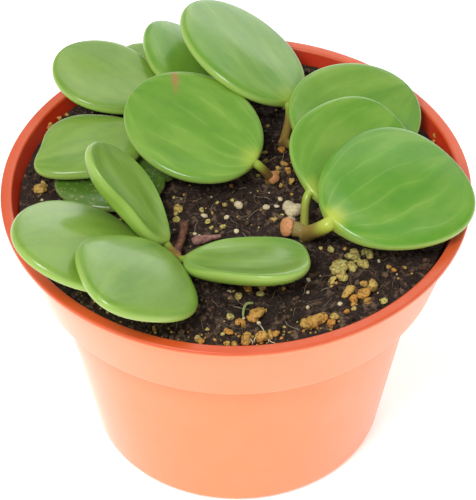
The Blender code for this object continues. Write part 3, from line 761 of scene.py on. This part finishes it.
class PEPEROMIA_OT_pot(Operator):
    """Add the moulded pot: a wall line turned about the axis, with round drainage holes"""

    bl_idname = "peperomia.pot"
    bl_label = "Pot"

    def execute(self, context):
        settings = context.scene.peperomia.pot
        rounding = settings.rounding / MM
        inner_lip = RIM_RADIUS - LIP_WIDTH
        line = rounded_profile([
            (0.0, POT_FLOOR, 0),
            (FOOT_RADIUS - WALL, POT_FLOOR, 1.5),
            (BODY_TOP_RADIUS - WALL, STEP_HEIGHT + WALL, 0.4),
            (COLLAR_FOOT_RADIUS - WALL, STEP_HEIGHT + WALL, 0.8),
            (inner_lip, POT_HEIGHT, rounding),
            (RIM_RADIUS, POT_HEIGHT, rounding),
            (RIM_RADIUS, POT_HEIGHT - LIP_THICKNESS, rounding),
            (COLLAR_TOP_RADIUS, POT_HEIGHT - LIP_THICKNESS, 0.3),
            (COLLAR_FOOT_RADIUS, STEP_HEIGHT, 0.8),
            (BODY_TOP_RADIUS, STEP_HEIGHT, 0.6),
            (FOOT_RADIUS, 0.0, FOOT_ROUNDING),
            (0.0, 0.0, 0),
        ])
        angle = np.arange(POT_SIDES) / POT_SIDES * TAU
        radius, height = line[1:-1, :1], line[1:-1, 1:]
        count = len(radius)
        rings = np.stack([radius * np.cos(angle), radius * np.sin(angle), height + 0 * angle], axis=-1)
        order = np.arange(count)
        rim = np.argmax(radius)
        # The outer wall, marked as outer, takes the plastic painted paler, as painted light
        pot = add_shells(
            "pot_moulded", rings[None], np.array([[0, 0, POT_FLOOR]]), np.array([[0, 0, 0.0]]),
            moulded_polypropylene(
                settings, "Moulded polypropylene", sheen=0.55, outer=settings.painted_wall_light, inner=settings.plastic),
            "pot", ["pot"], {"outer": ((order[:, None] > rim) * 1.0, 0, 1)})
        # The inside of the wall is a deeper, darker red, painted shade, and it has no sheen
        pot.data.materials.append(moulded_polypropylene(
            settings, "Polypropylene inside the pot", sheen=0.0,
            outer=settings.shaded, inner=settings.shaded))
        inside = (order[1:] < rim) & (height[1:, 0] < POT_HEIGHT - LIP_DEPTH)
        # The lip is handled and rubbed, which leaves it plain and without the sheen of the wall
        pot.data.materials.append(moulded_polypropylene(
            settings, "Polypropylene of the lip", sheen=0.08,
            outer=settings.plastic, inner=settings.plastic))
        lip = (order[1:] <= rim) & ~inside
        # The faces are the bands between the rings and then the fans of the floor's upper and lower side
        bands = np.repeat(inside + 2 * lip, POT_SIDES)
        index = np.concatenate([bands, np.ones(POT_SIDES), np.zeros(POT_SIDES)]).astype(int)
        pot.data.polygons.foreach_set("material_index", index)
        self.cut_drain_holes(pot)
        return {"FINISHED"}

    def cut_drain_holes(self, pot):
        """Cuts a ring of round holes through the floor."""
        turn = (np.arange(DRAIN_COUNT) + 0.5) / DRAIN_COUNT * TAU
        centres = np.stack([np.cos(turn), np.sin(turn), np.zeros(DRAIN_COUNT)], axis=-1) * DRAIN_RING_RADIUS
        ends = np.array([-2.0, 2 * POT_FLOOR])
        paths = centres[:, None] + ends[None, :, None] * np.array([0, 0, 1.0])
        radii = np.full((DRAIN_COUNT, 2), DRAIN_RADIUS)
        rings = around(paths, radii, DRAIN_SIDES, np.array([1.0, 0, 0])).reshape(DRAIN_COUNT, -1, 3)
        points = np.concatenate([paths[:, :1], rings, paths[:, 1:]], axis=1).reshape(-1, 3)
        quads, fans = outward(points, *shell_faces(DRAIN_COUNT, 2, DRAIN_SIDES))
        mesh = bpy.data.meshes.new("drain_holes")
        mesh.from_pydata((points * MM).tolist(), [], quads.tolist() + fans.tolist())
        cutter = bpy.data.objects.new("drain_holes", mesh)
        bpy.context.scene.collection.objects.link(cutter)
        modifier = pot.modifiers.new("Drain holes", "BOOLEAN")
        modifier.operation = "DIFFERENCE"
        modifier.solver = "EXACT"
        modifier.object = cutter
        bpy.context.view_layer.update()
        graph = bpy.context.evaluated_depsgraph_get()
        cut = bpy.data.meshes.new_from_object(pot.evaluated_get(graph))
        # The holes' edges are sharp, and without this their shading would smear over the floor
        cut.set_sharp_from_angle(angle=SHARP_ANGLE)
        # The cut leaves the holes' new points without the value that says which side of the wall they are on
        places, outer = np.zeros((len(cut.vertices), 3)), np.zeros(len(cut.vertices))
        cut.vertices.foreach_get("co", places.ravel())
        cut.attributes["outer"].data.foreach_get("value", outer)
        outer[places[:, 2] < POT_FLOOR * MM / 2] = 1
        cut.attributes["outer"].data.foreach_set("value", outer)
        pot.modifiers.clear()
        pot.data = cut
        bpy.data.objects.remove(cutter)


class PEPEROMIA_OT_soil(Operator):
    """Add the peat: a crumbly surface over the disc inside the wall, closed under it along the pot"""

    bl_idname = "peperomia.soil"
    bl_label = "Soil"

    def execute(self, context):
        settings = context.scene.peperomia.soil
        relief = settings.relief / MM
        # A square of u, v from -1 to 1 becomes the disc by x = radius u (1 - v^2 / 2)^(1/2), and y likewise
        line = np.linspace(-1, 1, SOIL_GRID)
        u, v = np.meshgrid(line, line, indexing="ij")
        x, y = SOIL_RADIUS * u * np.sqrt(1 - v * v / 2), SOIL_RADIUS * v * np.sqrt(1 - u * u / 2)
        top = np.stack([x, y, soil_height(x, y, relief)], axis=-1)
        index = np.arange(SOIL_GRID**2).reshape(SOIL_GRID, SOIL_GRID)
        quads = np.stack([index[:-1, :-1], index[1:, :-1], index[1:, 1:], index[:-1, 1:]], axis=-1)
        # The square's border, once round, is carried down the inside of the wall as rings of falling radius
        border = np.concatenate([index[:-1, 0], index[-1, :-1], index[:0:-1, -1], index[0, :0:-1]])
        rim = unit(top.reshape(-1, 3)[border] * np.array([1, 1, 0]))
        gap = WALL + SOIL_ROOM
        wall = [
            (COLLAR_FOOT_RADIUS - gap, STEP_HEIGHT + gap), (BODY_TOP_RADIUS - gap, STEP_HEIGHT + gap),
            (FOOT_RADIUS - gap, POT_FLOOR + 1.5), (FOOT_RADIUS - gap - WALL, POT_FLOOR + 0.4)]
        rings = np.array([rim * radius + np.array([0, 0, height]) for radius, height in wall])
        points = np.concatenate([top.reshape(-1, 3), rings.reshape(-1, 3), [[0, 0, POT_FLOOR + 0.4]]])
        lower = SOIL_GRID**2 + np.arange(rings[..., 0].size).reshape(len(wall), -1)
        loops = np.concatenate([border[None], lower])
        after = np.roll(loops, -1, axis=1)
        skirt = np.stack([loops[:-1], loops[1:], after[1:], after[:-1]], axis=-1)
        last = loops[-1]
        fan = np.stack([last, np.full(len(last), len(points) - 1), np.roll(last, -1)], axis=-1)
        add_piece(
            "soil_peat", points,
            quads.reshape(-1, 4).tolist() + skirt.reshape(-1, 4).tolist() + fan.tolist(),
            damp_peat(settings), ["soil"])
        return {"FINISHED"}


def lumps(centres, radii, flatness, seed, rings, sides, waviness):
    """Rings and poles of rounded lumps: spheres whose radius swells and shrinks on random waves.

    The wave along a random axis a is sin(pitch (direction . a) + phase), for four broad waves and four
    narrow, weaker ones. The lump is pressed flat by flatness, tilted about X and turned about the vertical.
    """
    draw = np.random.default_rng(seed)
    count = len(centres)
    polar = (np.arange(rings) + 1) / (rings + 1) * math.pi
    angle = np.arange(sides) / sides * TAU
    grid = np.stack([
        np.sin(polar)[:, None] * np.cos(angle), np.sin(polar)[:, None] * np.sin(angle),
        np.cos(polar)[:, None] + 0 * angle], axis=-1)
    directions = np.concatenate([[[0, 0, 1.0]], grid.reshape(-1, 3), [[0, 0, -1.0]]])
    axes = unit(draw.normal(size=(count, 8, 3)))
    phases = draw.uniform(0, TAU, (count, 8, 1))
    pitch, weight = np.repeat([[3.1, 7.5], [1.0, 0.4]], 4, axis=1)[..., None]
    waves = (weight * np.sin(pitch * np.einsum("nka,da->nkd", axes, directions) + phases)).sum(1)
    stretch = np.stack([
        draw.uniform(0.8, 1.15, count), draw.uniform(0.75, 1.1, count),
        flatness * draw.uniform(0.8, 1.1, count)], axis=-1)
    shape = directions * stretch[:, None] * (1 + waviness * waves / 2)[..., None] * radii[:, None, None]
    turn = draw.uniform(0, TAU, count)[:, None]
    tilt = draw.uniform(-0.5, 0.5, count)[:, None]
    x, y, z = np.moveaxis(shape, -1, 0)
    y, z = turned(y, z, tilt)
    x, y = turned(x, y, turn)
    shape = np.stack([x, y, z], axis=-1) + centres[:, None]
    return shape[:, 1:-1].reshape(count, rings, sides, 3), shape[:, 0], shape[:, -1]


def mostly_small(draw, count, radii, power):
    """Radii of the least plus u^power times what the largest has over it, with u drawn evenly."""
    least, over = radii
    return least + over * draw.uniform(0, 1, count) ** power


def scattered(count, limit, seed):
    """Places drawn evenly over a disc of that radius."""
    draw = np.random.default_rng(seed)
    angle, reach = draw.uniform(0, TAU, count), limit * np.sqrt(draw.uniform(0, 1, count))
    return reach * np.cos(angle), reach * np.sin(angle)


def seated(x, y, radius, relief, sink):
    """Centres of lumps that lie on the soil, sunk in it by a share of their radius."""
    return np.stack([x, y, soil_height(x, y, relief) + radius * (1 - sink)], axis=-1)


class PEPEROMIA_OT_grains(Operator):
    """Add what lies in the soil's surface: peat crumbs, perlite, vermiculite and fine fibres"""

    bl_idname = "peperomia.grains"
    bl_label = "Grains and fibres"

    def execute(self, context):
        settings = context.scene.peperomia.soil
        relief = settings.relief / MM
        draw = np.random.default_rng(21)
        x, y = scattered(CRUMB_COUNT, CRUMB_REACH, seed=22)
        size = mostly_small(draw, CRUMB_COUNT, CRUMB_RADII, 3)
        dryness = draw.uniform(-0.4, 0.9, CRUMB_COUNT) ** 3
        crumbs = lumps(
            seated(x, y, size, relief, sink=0.7), size, flatness=0.8, seed=23, rings=4, sides=6,
            waviness=0.35)
        add_shells("soil_crumbs", *crumbs, damp_peat(settings), "soil", (), {"dryness": dryness})
        # The listed perlite all has the same small share of its second colour
        perlite = np.column_stack([PERLITE, np.full(len(PERLITE), 0.2)])
        angle = np.radians(draw.uniform(*GATHERED_ANGLES, GATHERED_COUNT))
        reach = draw.uniform(*GATHERED_REACH, GATHERED_COUNT)
        gathered = np.column_stack([
            reach * np.cos(angle), reach * np.sin(angle),
            mostly_small(draw, GATHERED_COUNT, GATHERED_RADII, 1.5), draw.uniform(0.4, 1, GATHERED_COUNT)])
        # Perlite is puffed up and round, and vermiculite is flaky
        for name, known, extra, places_seed, shapes_seed, flatness, waviness, material in (
            ("perlite", perlite, PERLITE_COUNT, 7, 38, 0.85, 0.11,
             grain_material("Expanded perlite", settings.perlite, linear("#C4AE7C"), pit_shade=0.3)),
            ("vermiculite", np.concatenate([VERMICULITE, gathered]), VERMICULITE_COUNT, 11, 42, 0.7, 0.3,
             grain_material(
                 "Exfoliated vermiculite", settings.weathered, settings.vermiculite, pit_shade=0.7)),
        ):
            x, y = scattered(extra, GRAIN_REACH, places_seed)
            extras = [x, y, mostly_small(draw, extra, GRAIN_RADII, 2), draw.uniform(0, 1, extra)]
            x, y, size, gold = (np.concatenate(pair) for pair in zip(known.T, extras))
            grains = lumps(
                seated(x, y, size, relief, sink=0.45), size, flatness, shapes_seed, rings=9, sides=14,
                waviness=waviness)
            add_shells(name, *grains, material, "soil", (), {"gold": gold})
        fibre = plant_fibre(settings)
        self.add_fibres(fibre, relief, draw)
        self.add_threads(fibre)
        return {"FINISHED"}

    def add_fibres(self, material, relief, draw):
        """Thin bent strands that follow the soil, lifted a little at random.

        Each is a straight run turned to its heading, with a sideways bow (1 - 4 t^2) and a small sine wave.
        """
        count = FIBRE_COUNT
        x, y = scattered(count, FIBRE_REACH, seed=41)
        heading, length = draw.uniform(0, TAU, count)[:, None], draw.uniform(0.8, 4.5, count)[:, None]
        bow = draw.uniform(-0.2, 0.2, count)[:, None] * length
        t = np.linspace(-0.5, 0.5, 7)[None]
        side = bow * (1 - 4 * t**2) + 0.04 * length * np.sin(9 * t + heading)
        run, side = turned(t * length, side, heading)
        x, y = x[:, None] + run, y[:, None] + side
        inside = np.minimum(1, FIBRE_LIMIT / np.maximum(np.hypot(x, y), 1))
        x, y = x * inside, y * inside
        lift = draw.uniform(0.0, 0.4, count)[:, None] * (1 - 4 * t**2)
        paths = np.stack([x, y, soil_height(x, y, relief) + 0.05 + lift], axis=-1)
        radii = draw.uniform(0.03, 0.075, count)[:, None] * (1 - 0.5 * np.abs(2 * t) ** 3)
        rings = around(paths, radii, 4, np.array([0, 0, 1.0]))
        pale = draw.uniform(0, 0.85, count) ** 1.5
        add_shells(
            "soil_fibres", rings, paths[:, 0], paths[:, -1], material, "soil", (), {"pale": pale})

    def add_threads(self, material):
        """The longer root threads and the moss stem: lines through listed points, eased by a running mean.

        Each rises over the soil by its height times (4 t (1 - t))^(1/2), and gets thinner towards its ends.
        """
        t = np.linspace(0, 1, 25)
        paths, radii = [], []
        for radius, height, _, line in THREADS:
            knots = np.linspace(0, 1, len(line))
            x, y = (np.interp(t, knots, column) for column in np.array(line).T)
            x, y = (np.convolve(np.pad(values, 2, "edge"), np.full(5, 0.2), "valid") for values in (x, y))
            rise = height * np.sqrt(np.clip(4 * t * (1 - t), 0.05, 1))
            paths.append(np.stack([x, y, SOIL_LEVEL + rise], axis=-1))
            radii.append(radius * (1 - 0.4 * np.abs(2 * t - 1) ** 3))
        paths = np.array(paths)
        rings = around(paths, np.array(radii), 8, np.array([0, 0, 1.0]))
        add_shells(
            "root_threads", rings, paths[:, 0], paths[:, -1], material, "soil", (),
            {"pale": 1.0, "greenness": [greenness for _, _, greenness, _ in THREADS]})


def stem_path(line, stations=40):
    """A stem's path and radii: its listed points in even steps, eased by a running mean of five."""
    line = np.array(line, float)
    reach = np.concatenate([[0], np.cumsum(np.linalg.norm(np.diff(line[:, :3], axis=0), axis=1))])
    at = np.linspace(0, reach[-1], stations)
    path = np.stack([np.interp(at, reach, line[:, k]) for k in range(4)], axis=-1)
    padded = np.concatenate([np.repeat(path[:1], 2, 0), path, np.repeat(path[-1:], 2, 0)])
    path = sum(padded[k:k + stations] for k in range(5)) / 5
    return on_soil(path[:, :3]), path[:, 3]


class PEPEROMIA_OT_stems(Operator):
    """Add the six fleshy stems and the dry piece: round sections along each stem's line, with faint rings"""

    bl_idname = "peperomia.stems"
    bl_label = "Stems"

    def execute(self, context):
        settings = context.scene.peperomia.stem
        material = fleshy_stem(settings)
        for number, (name, line) in enumerate(STEMS.items()):
            self.add_stem(f"{name}_flesh", line, number, material, "stem", name, RUDDINESS.get(name, 0.0))
        self.add_stem("dry_stem_piece", DRY_STEM, 9, dry_stem_material(settings), "dry_stem", "dry_stem")
        return {"FINISHED"}

    def add_stem(self, name, line, number, material, slot, node, ruddiness=0.0):
        """Sections along the stem's path, whose radius varies by sines round them and along the stem.

        The sines are shifted by the stem's number. Past its end, further sections shrink by the cosine of an
        angle and go out by its sine, as a knob.
        """
        path, radii = stem_path(line)
        angle = np.arange(STEM_SIDES) / STEM_SIDES * TAU
        station = np.arange(len(path))[:, None]
        uneven = 1 + 0.05 * np.sin(2 * angle + number) + 0.05 * np.sin(3 * angle + 0.4 * station)
        uneven = uneven + 0.025 * np.sin(0.7 * station + number)
        # The reference is a direction that no stem's path takes
        rings = around(path[None], (radii[:, None] * uneven)[None], STEM_SIDES, np.array([0.9, 0.4, 0.1]))
        shares = np.linspace(0, 1, len(path))[:, None]
        end = unit(path[-1] - path[-4]) * KNOB_SHARE * radii[-1]
        bend = np.radians(KNOB_ANGLES)[:, None, None]
        knob = path[-1] + end * np.sin(bend) + (rings[0, -1] - path[-1]) * np.cos(bend)
        rings = np.concatenate([rings, knob[None]], axis=1)
        along = np.append(shares, np.ones((len(bend), 1)), axis=0)
        add_shells(
            name, rings, path[:1], path[-1:] + end, material, slot, [node],
            {"along": (along, 0, 1), "ruddy": ruddiness})


class PEPEROMIA_OT_leaves(Operator):
    """Add the fourteen leaves: sections carried from the stem through the stalk and the blade to its tip"""

    bl_idname = "peperomia.leaves"
    bl_label = "Leaves"

    def execute(self, context):
        settings = context.scene.peperomia.leaf
        material = waxy_leaf(settings)
        for number, (name, spec) in enumerate(LEAVES.items()):
            self.add_leaf(name, spec, number, material, settings.swelling)
        return {"FINISHED"}

    def add_leaf(self, name, spec, number, material, swelling):
        """One closed surface of stations x section angles: the stalk's, and then the blade's.

        With X from -1 at the foot to 1 at the tip and the section angle a, v = sin a runs between the
        margins and r^2 = X^2 + v^2 (1 - X^2). With q, the outline's waves at that angle about the middle, the
        blade is x = length (1 + q X) / 2, y = half width x q v, and z = dish (r^(2 curl) - 1), with two slow
        waves, plus or minus half the thickness times (1 - r^power)^(1/2), with the power that makes the
        margin a half round. The stalk's round section is added to it as the root of the sum of squares, and
        fades into the blade. The stalk itself is round, along a cubic curve of four corners.
        """
        leaving_point, foot, angles, (length, width), widening, dish = spec
        tone, veins, yellow, thickness, stalk, brown, curl = LOOKS[name]
        thickness *= swelling
        power = 2 * width / thickness
        turn = leaf_rotation(*angles)
        foot = on_soil(foot)
        angle = np.arange(BLADE_SIDES) / BLADE_SIDES * TAU
        v, c = np.sin(angle)[None], np.cos(angle)[None]

        station = -np.cos(np.linspace(0, math.pi, BLADE_STATIONS)[:-1])[:, None]
        flat = np.sqrt(1 - station**2)
        reach = np.minimum(1, station**2 + v**2 * flat**2)
        fade = stalk * (1 - smooth_step((1 + station) * length / 2, 0, STALK_FADE))
        waves = np.array(OUTLINES.get(name, (0,) * 8)).reshape(4, 2, 1, 1)
        turns = np.arange(1, 5)[:, None, None]
        bearing = turns * np.arctan2(v * flat, station)
        # The cosines count from their value at the foot, so that stays where it is
        cosines = np.cos(bearing) - np.cos(turns * math.pi)
        outline = 1 + reach * (waves[:, 0] * cosines + waves[:, 1] * np.sin(bearing)).sum(0)
        half = np.sqrt((width / 2 * flat * (1 - widening * station)) ** 2 + fade**2)
        thick = np.sqrt((thickness / 2) ** 2 * (1 - reach ** (power / 2)) + (fade * c) ** 2)
        # The leaf's number shifts the waves, so that no two blades are alike
        wave = BROAD_WAVE * np.sin(1.9 * station + 2.3 * v * flat + number)
        wave = wave + NARROW_WAVE * np.sin(4.1 * v * flat - 2.6 * station + 2 * number)
        # The solid's underside stays where it is, so a thicker blade grows upwards
        growth = (thickness - SOLID_THICKNESS) / 2 * smooth_step(1 + station, 0, 0.5)
        middle = dish * (reach**curl - 1) + wave * (1 - reach) + growth
        blade = np.stack([
            length * (1 + station * outline) / 2, half * v * outline, middle + np.sign(c) * thick], axis=-1)

        start = turn.T @ (on_soil(leaving_point) - foot)
        pull = STALK_PULL * np.linalg.norm(start)
        corners = np.array([start, start + unit(-start) * pull * 0.6, [-pull, 0, -0.15 * pull], [0, 0, 0]])
        t = np.linspace(0, 1, STALK_STATIONS)[:-1, None]
        path = (1 - t) ** 3 * corners[0] + 3 * t * (1 - t) ** 2 * corners[1] + 3 * t**2 * (1 - t) * corners[2]
        # Two more points, which give the last section its direction, are left off again
        whole = np.concatenate([path, [[0, 0, 0], [0.6, 0, 0]]])
        swell = np.append(stalk * (1 + 0.15 * (1 - t[:, 0]) ** 4), [stalk, stalk])
        rings = around(whole[None], swell[None], BLADE_SIDES, np.array([0, 0, 1.0]))[0, :-2]
        # The section's angle starts at the top and runs towards +Y, as the blade's does
        rings = rings[:, -np.arange(BLADE_SIDES) % BLADE_SIDES]

        local = np.concatenate([rings, blade])
        world = local @ turn.T + foot
        tip = turn @ np.array([length * (1 + waves[::2, 0].sum()), 0, 0.0]) + foot
        stalk_shape = rings.shape[:2]
        along = np.concatenate([
            np.broadcast_to(t - 1, stalk_shape), np.broadcast_to((1 + station) / 2, thick.shape)])
        from_foot = np.hypot(length * (1 + station) / 2, 1.2 * half * v)
        scar = np.zeros(thick.shape)
        if name == SCARRED_LEAF:
            inwards = v - SCAR_ACROSS
            aside = station - SCAR_ALONG - SCAR_SLANT * inwards
            mark = np.exp(-((inwards / SCAR_LENGTH) ** 2) - (aside / SCAR_WIDTH) ** 2)
            # It goes round the margin and ends just under it
            scar = SCAR_SHARE * mark * (c > -0.3)
        values = {
            "along": (along, -1.0, 1.0), "face": (np.broadcast_to(c, local.shape[:2]), 1.0, 0.0),
            "tone": tone, "veins": veins, "brown": brown, "seed": 3.7 * number,
            # The lowest leaf's share darkens it as painted shade and specks it with dust
            "dust": DUST_AND_SHADE_SHARE if name == DUSTY_SHADED_LEAF else 0.0}
        # Each of these has one value all over the stalk
        for key, on_stalk, on_blade in (
            ("across", 0.5, np.broadcast_to(v, thick.shape)),
            ("half_width", 9.0, np.broadcast_to(half, thick.shape)),
            # The margin's pale line, partly a painted highlight on the lit rim
            ("edge", 0.0, MARGIN_AND_HIGHLIGHT_SHARE * smooth_step(reach, 0.93, 1.0)),
            ("throat", yellow, yellow * (1 - smooth_step(from_foot, *THROAT_REACH))),
            ("scar", 0.0, scar),
        ):
            both = np.concatenate([np.full(stalk_shape, on_stalk), on_blade])
            values[key] = (both, on_stalk, on_blade[-1].mean())
        add_shells(
            f"{name}_blade", world[None], on_soil([leaving_point]), tip[None],
            material, "leaf", [name], values)


class PEPEROMIA_OT_stage(Operator):
    """Add the pale floor, the white surround, the three soft lights and the camera"""

    bl_idname = "peperomia.stage"
    bl_label = "Stage"

    def execute(self, context):
        settings = context.scene.peperomia.stage
        scene = context.scene
        scene.view_settings.view_transform = "Standard"
        mesh = bpy.data.meshes.new("floor")
        corners = np.array([(-1, -1, 0), (1, -1, 0), (1, 1, 0), (-1, 1, 0)]) * STAGE_REACH
        corners = corners - np.array([0, 0, STAGE_DROP])
        mesh.from_pydata((corners * MM).tolist(), [], [(0, 1, 2, 3)])
        # A white acrylic sheet lit from below, as a product table is: it leaves no grey under the pot
        material, _, shader = new_material(
            "Opal acrylic sheet", Roughness=0.9, Emission_Strength=settings.glow)
        shader.inputs["Base Color"].default_value = (*settings.floor, 1)
        shader.inputs["Emission Color"].default_value = (*settings.floor, 1)
        mesh.materials.append(material)
        floor = bpy.data.objects.new("floor", mesh)
        scene.collection.objects.link(floor)

        world = bpy.data.worlds.new("White surround")
        scene.world = world
        world.use_nodes = True
        background = world.node_tree.nodes["Background"]
        background.inputs["Color"].default_value = (1, 1, 1, 1)
        background.inputs["Strength"].default_value = settings.surround

        for power, (name, place, size) in LIGHTS.items():
            self.add_light(name, place, size, getattr(settings, power))

        back = np.array([0, -math.cos(CAMERA_TILT), math.sin(CAMERA_TILT)])
        right, up = turned(
            np.array([1.0, 0, 0]), np.array([0, math.sin(CAMERA_TILT), math.cos(CAMERA_TILT)]), -CAMERA_ROLL)
        camera = bpy.data.objects.new("camera", bpy.data.cameras.new("camera"))
        camera.matrix_world = placement(
            right, up, back, (np.array(CAMERA_AIM) + back * CAMERA_DISTANCE) * MM)
        camera.data.sensor_width = SENSOR
        camera.data.lens = FOCAL_PIXELS / PHOTO_PIXELS * SENSOR
        camera.data.clip_start = 0.01
        scene.collection.objects.link(camera)
        scene.camera = camera
        return {"FINISHED"}

    def add_light(self, name, place, size, power):
        """Adds an elliptical softbox of that width and height, unseen itself, which faces the plant."""
        light = bpy.data.lights.new(name, "AREA")
        light.shape = "ELLIPSE"
        light.size, light.size_y = (side * MM for side in size)
        light.energy = power
        lamp = bpy.data.objects.new(name, light)
        lamp.visible_camera = False
        back = unit(np.array(place) - LIGHTS_AIM)
        right = unit(np.cross([0, 0, 1.0], back))
        lamp.matrix_world = placement(right, np.cross(back, right), back, np.array(place) * MM)
        bpy.context.scene.collection.objects.link(lamp)


class PEPEROMIA_PT_panel(Panel):
    """The list of the operators with their settings"""

    bl_label = "Potted peperomia"
    bl_space_type = "VIEW_3D"
    bl_region_type = "UI"
    bl_category = "Peperomia"

    def draw(self, context):
        settings = context.scene.peperomia
        for operators, group in (
            ((PEPEROMIA_OT_pot,), settings.pot), ((PEPEROMIA_OT_soil, PEPEROMIA_OT_grains), settings.soil),
            ((PEPEROMIA_OT_stems,), settings.stem), ((PEPEROMIA_OT_leaves,), settings.leaf),
            ((PEPEROMIA_OT_stage,), settings.stage),
        ):
            box = self.layout.box()
            for operator in operators:
                box.operator(operator.bl_idname)
            for name in group.__annotations__:
                box.prop(group, name)


CLASSES = (
    PotSettings, SoilSettings, LeafSettings, StemSettings, StageSettings, PeperomiaSettings,
    PEPEROMIA_OT_pot, PEPEROMIA_OT_soil, PEPEROMIA_OT_grains, PEPEROMIA_OT_stems, PEPEROMIA_OT_leaves,
    PEPEROMIA_OT_stage, PEPEROMIA_PT_panel,
)


def register():
    """Registers the settings, operators and panel."""
    for one in CLASSES:
        bpy.utils.register_class(one)
    bpy.types.Scene.peperomia = PointerProperty(type=PeperomiaSettings)


def unregister():
    """Takes them away again."""
    del bpy.types.Scene.peperomia
    for one in reversed(CLASSES):
        bpy.utils.unregister_class(one)


def main():
    """Makes every piece and the stage."""
    register()
    bpy.ops.peperomia.pot()
    bpy.ops.peperomia.soil()
    bpy.ops.peperomia.grains()
    bpy.ops.peperomia.stems()
    bpy.ops.peperomia.leaves()
    bpy.ops.peperomia.stage()


if __name__ == "__main__":
    main()
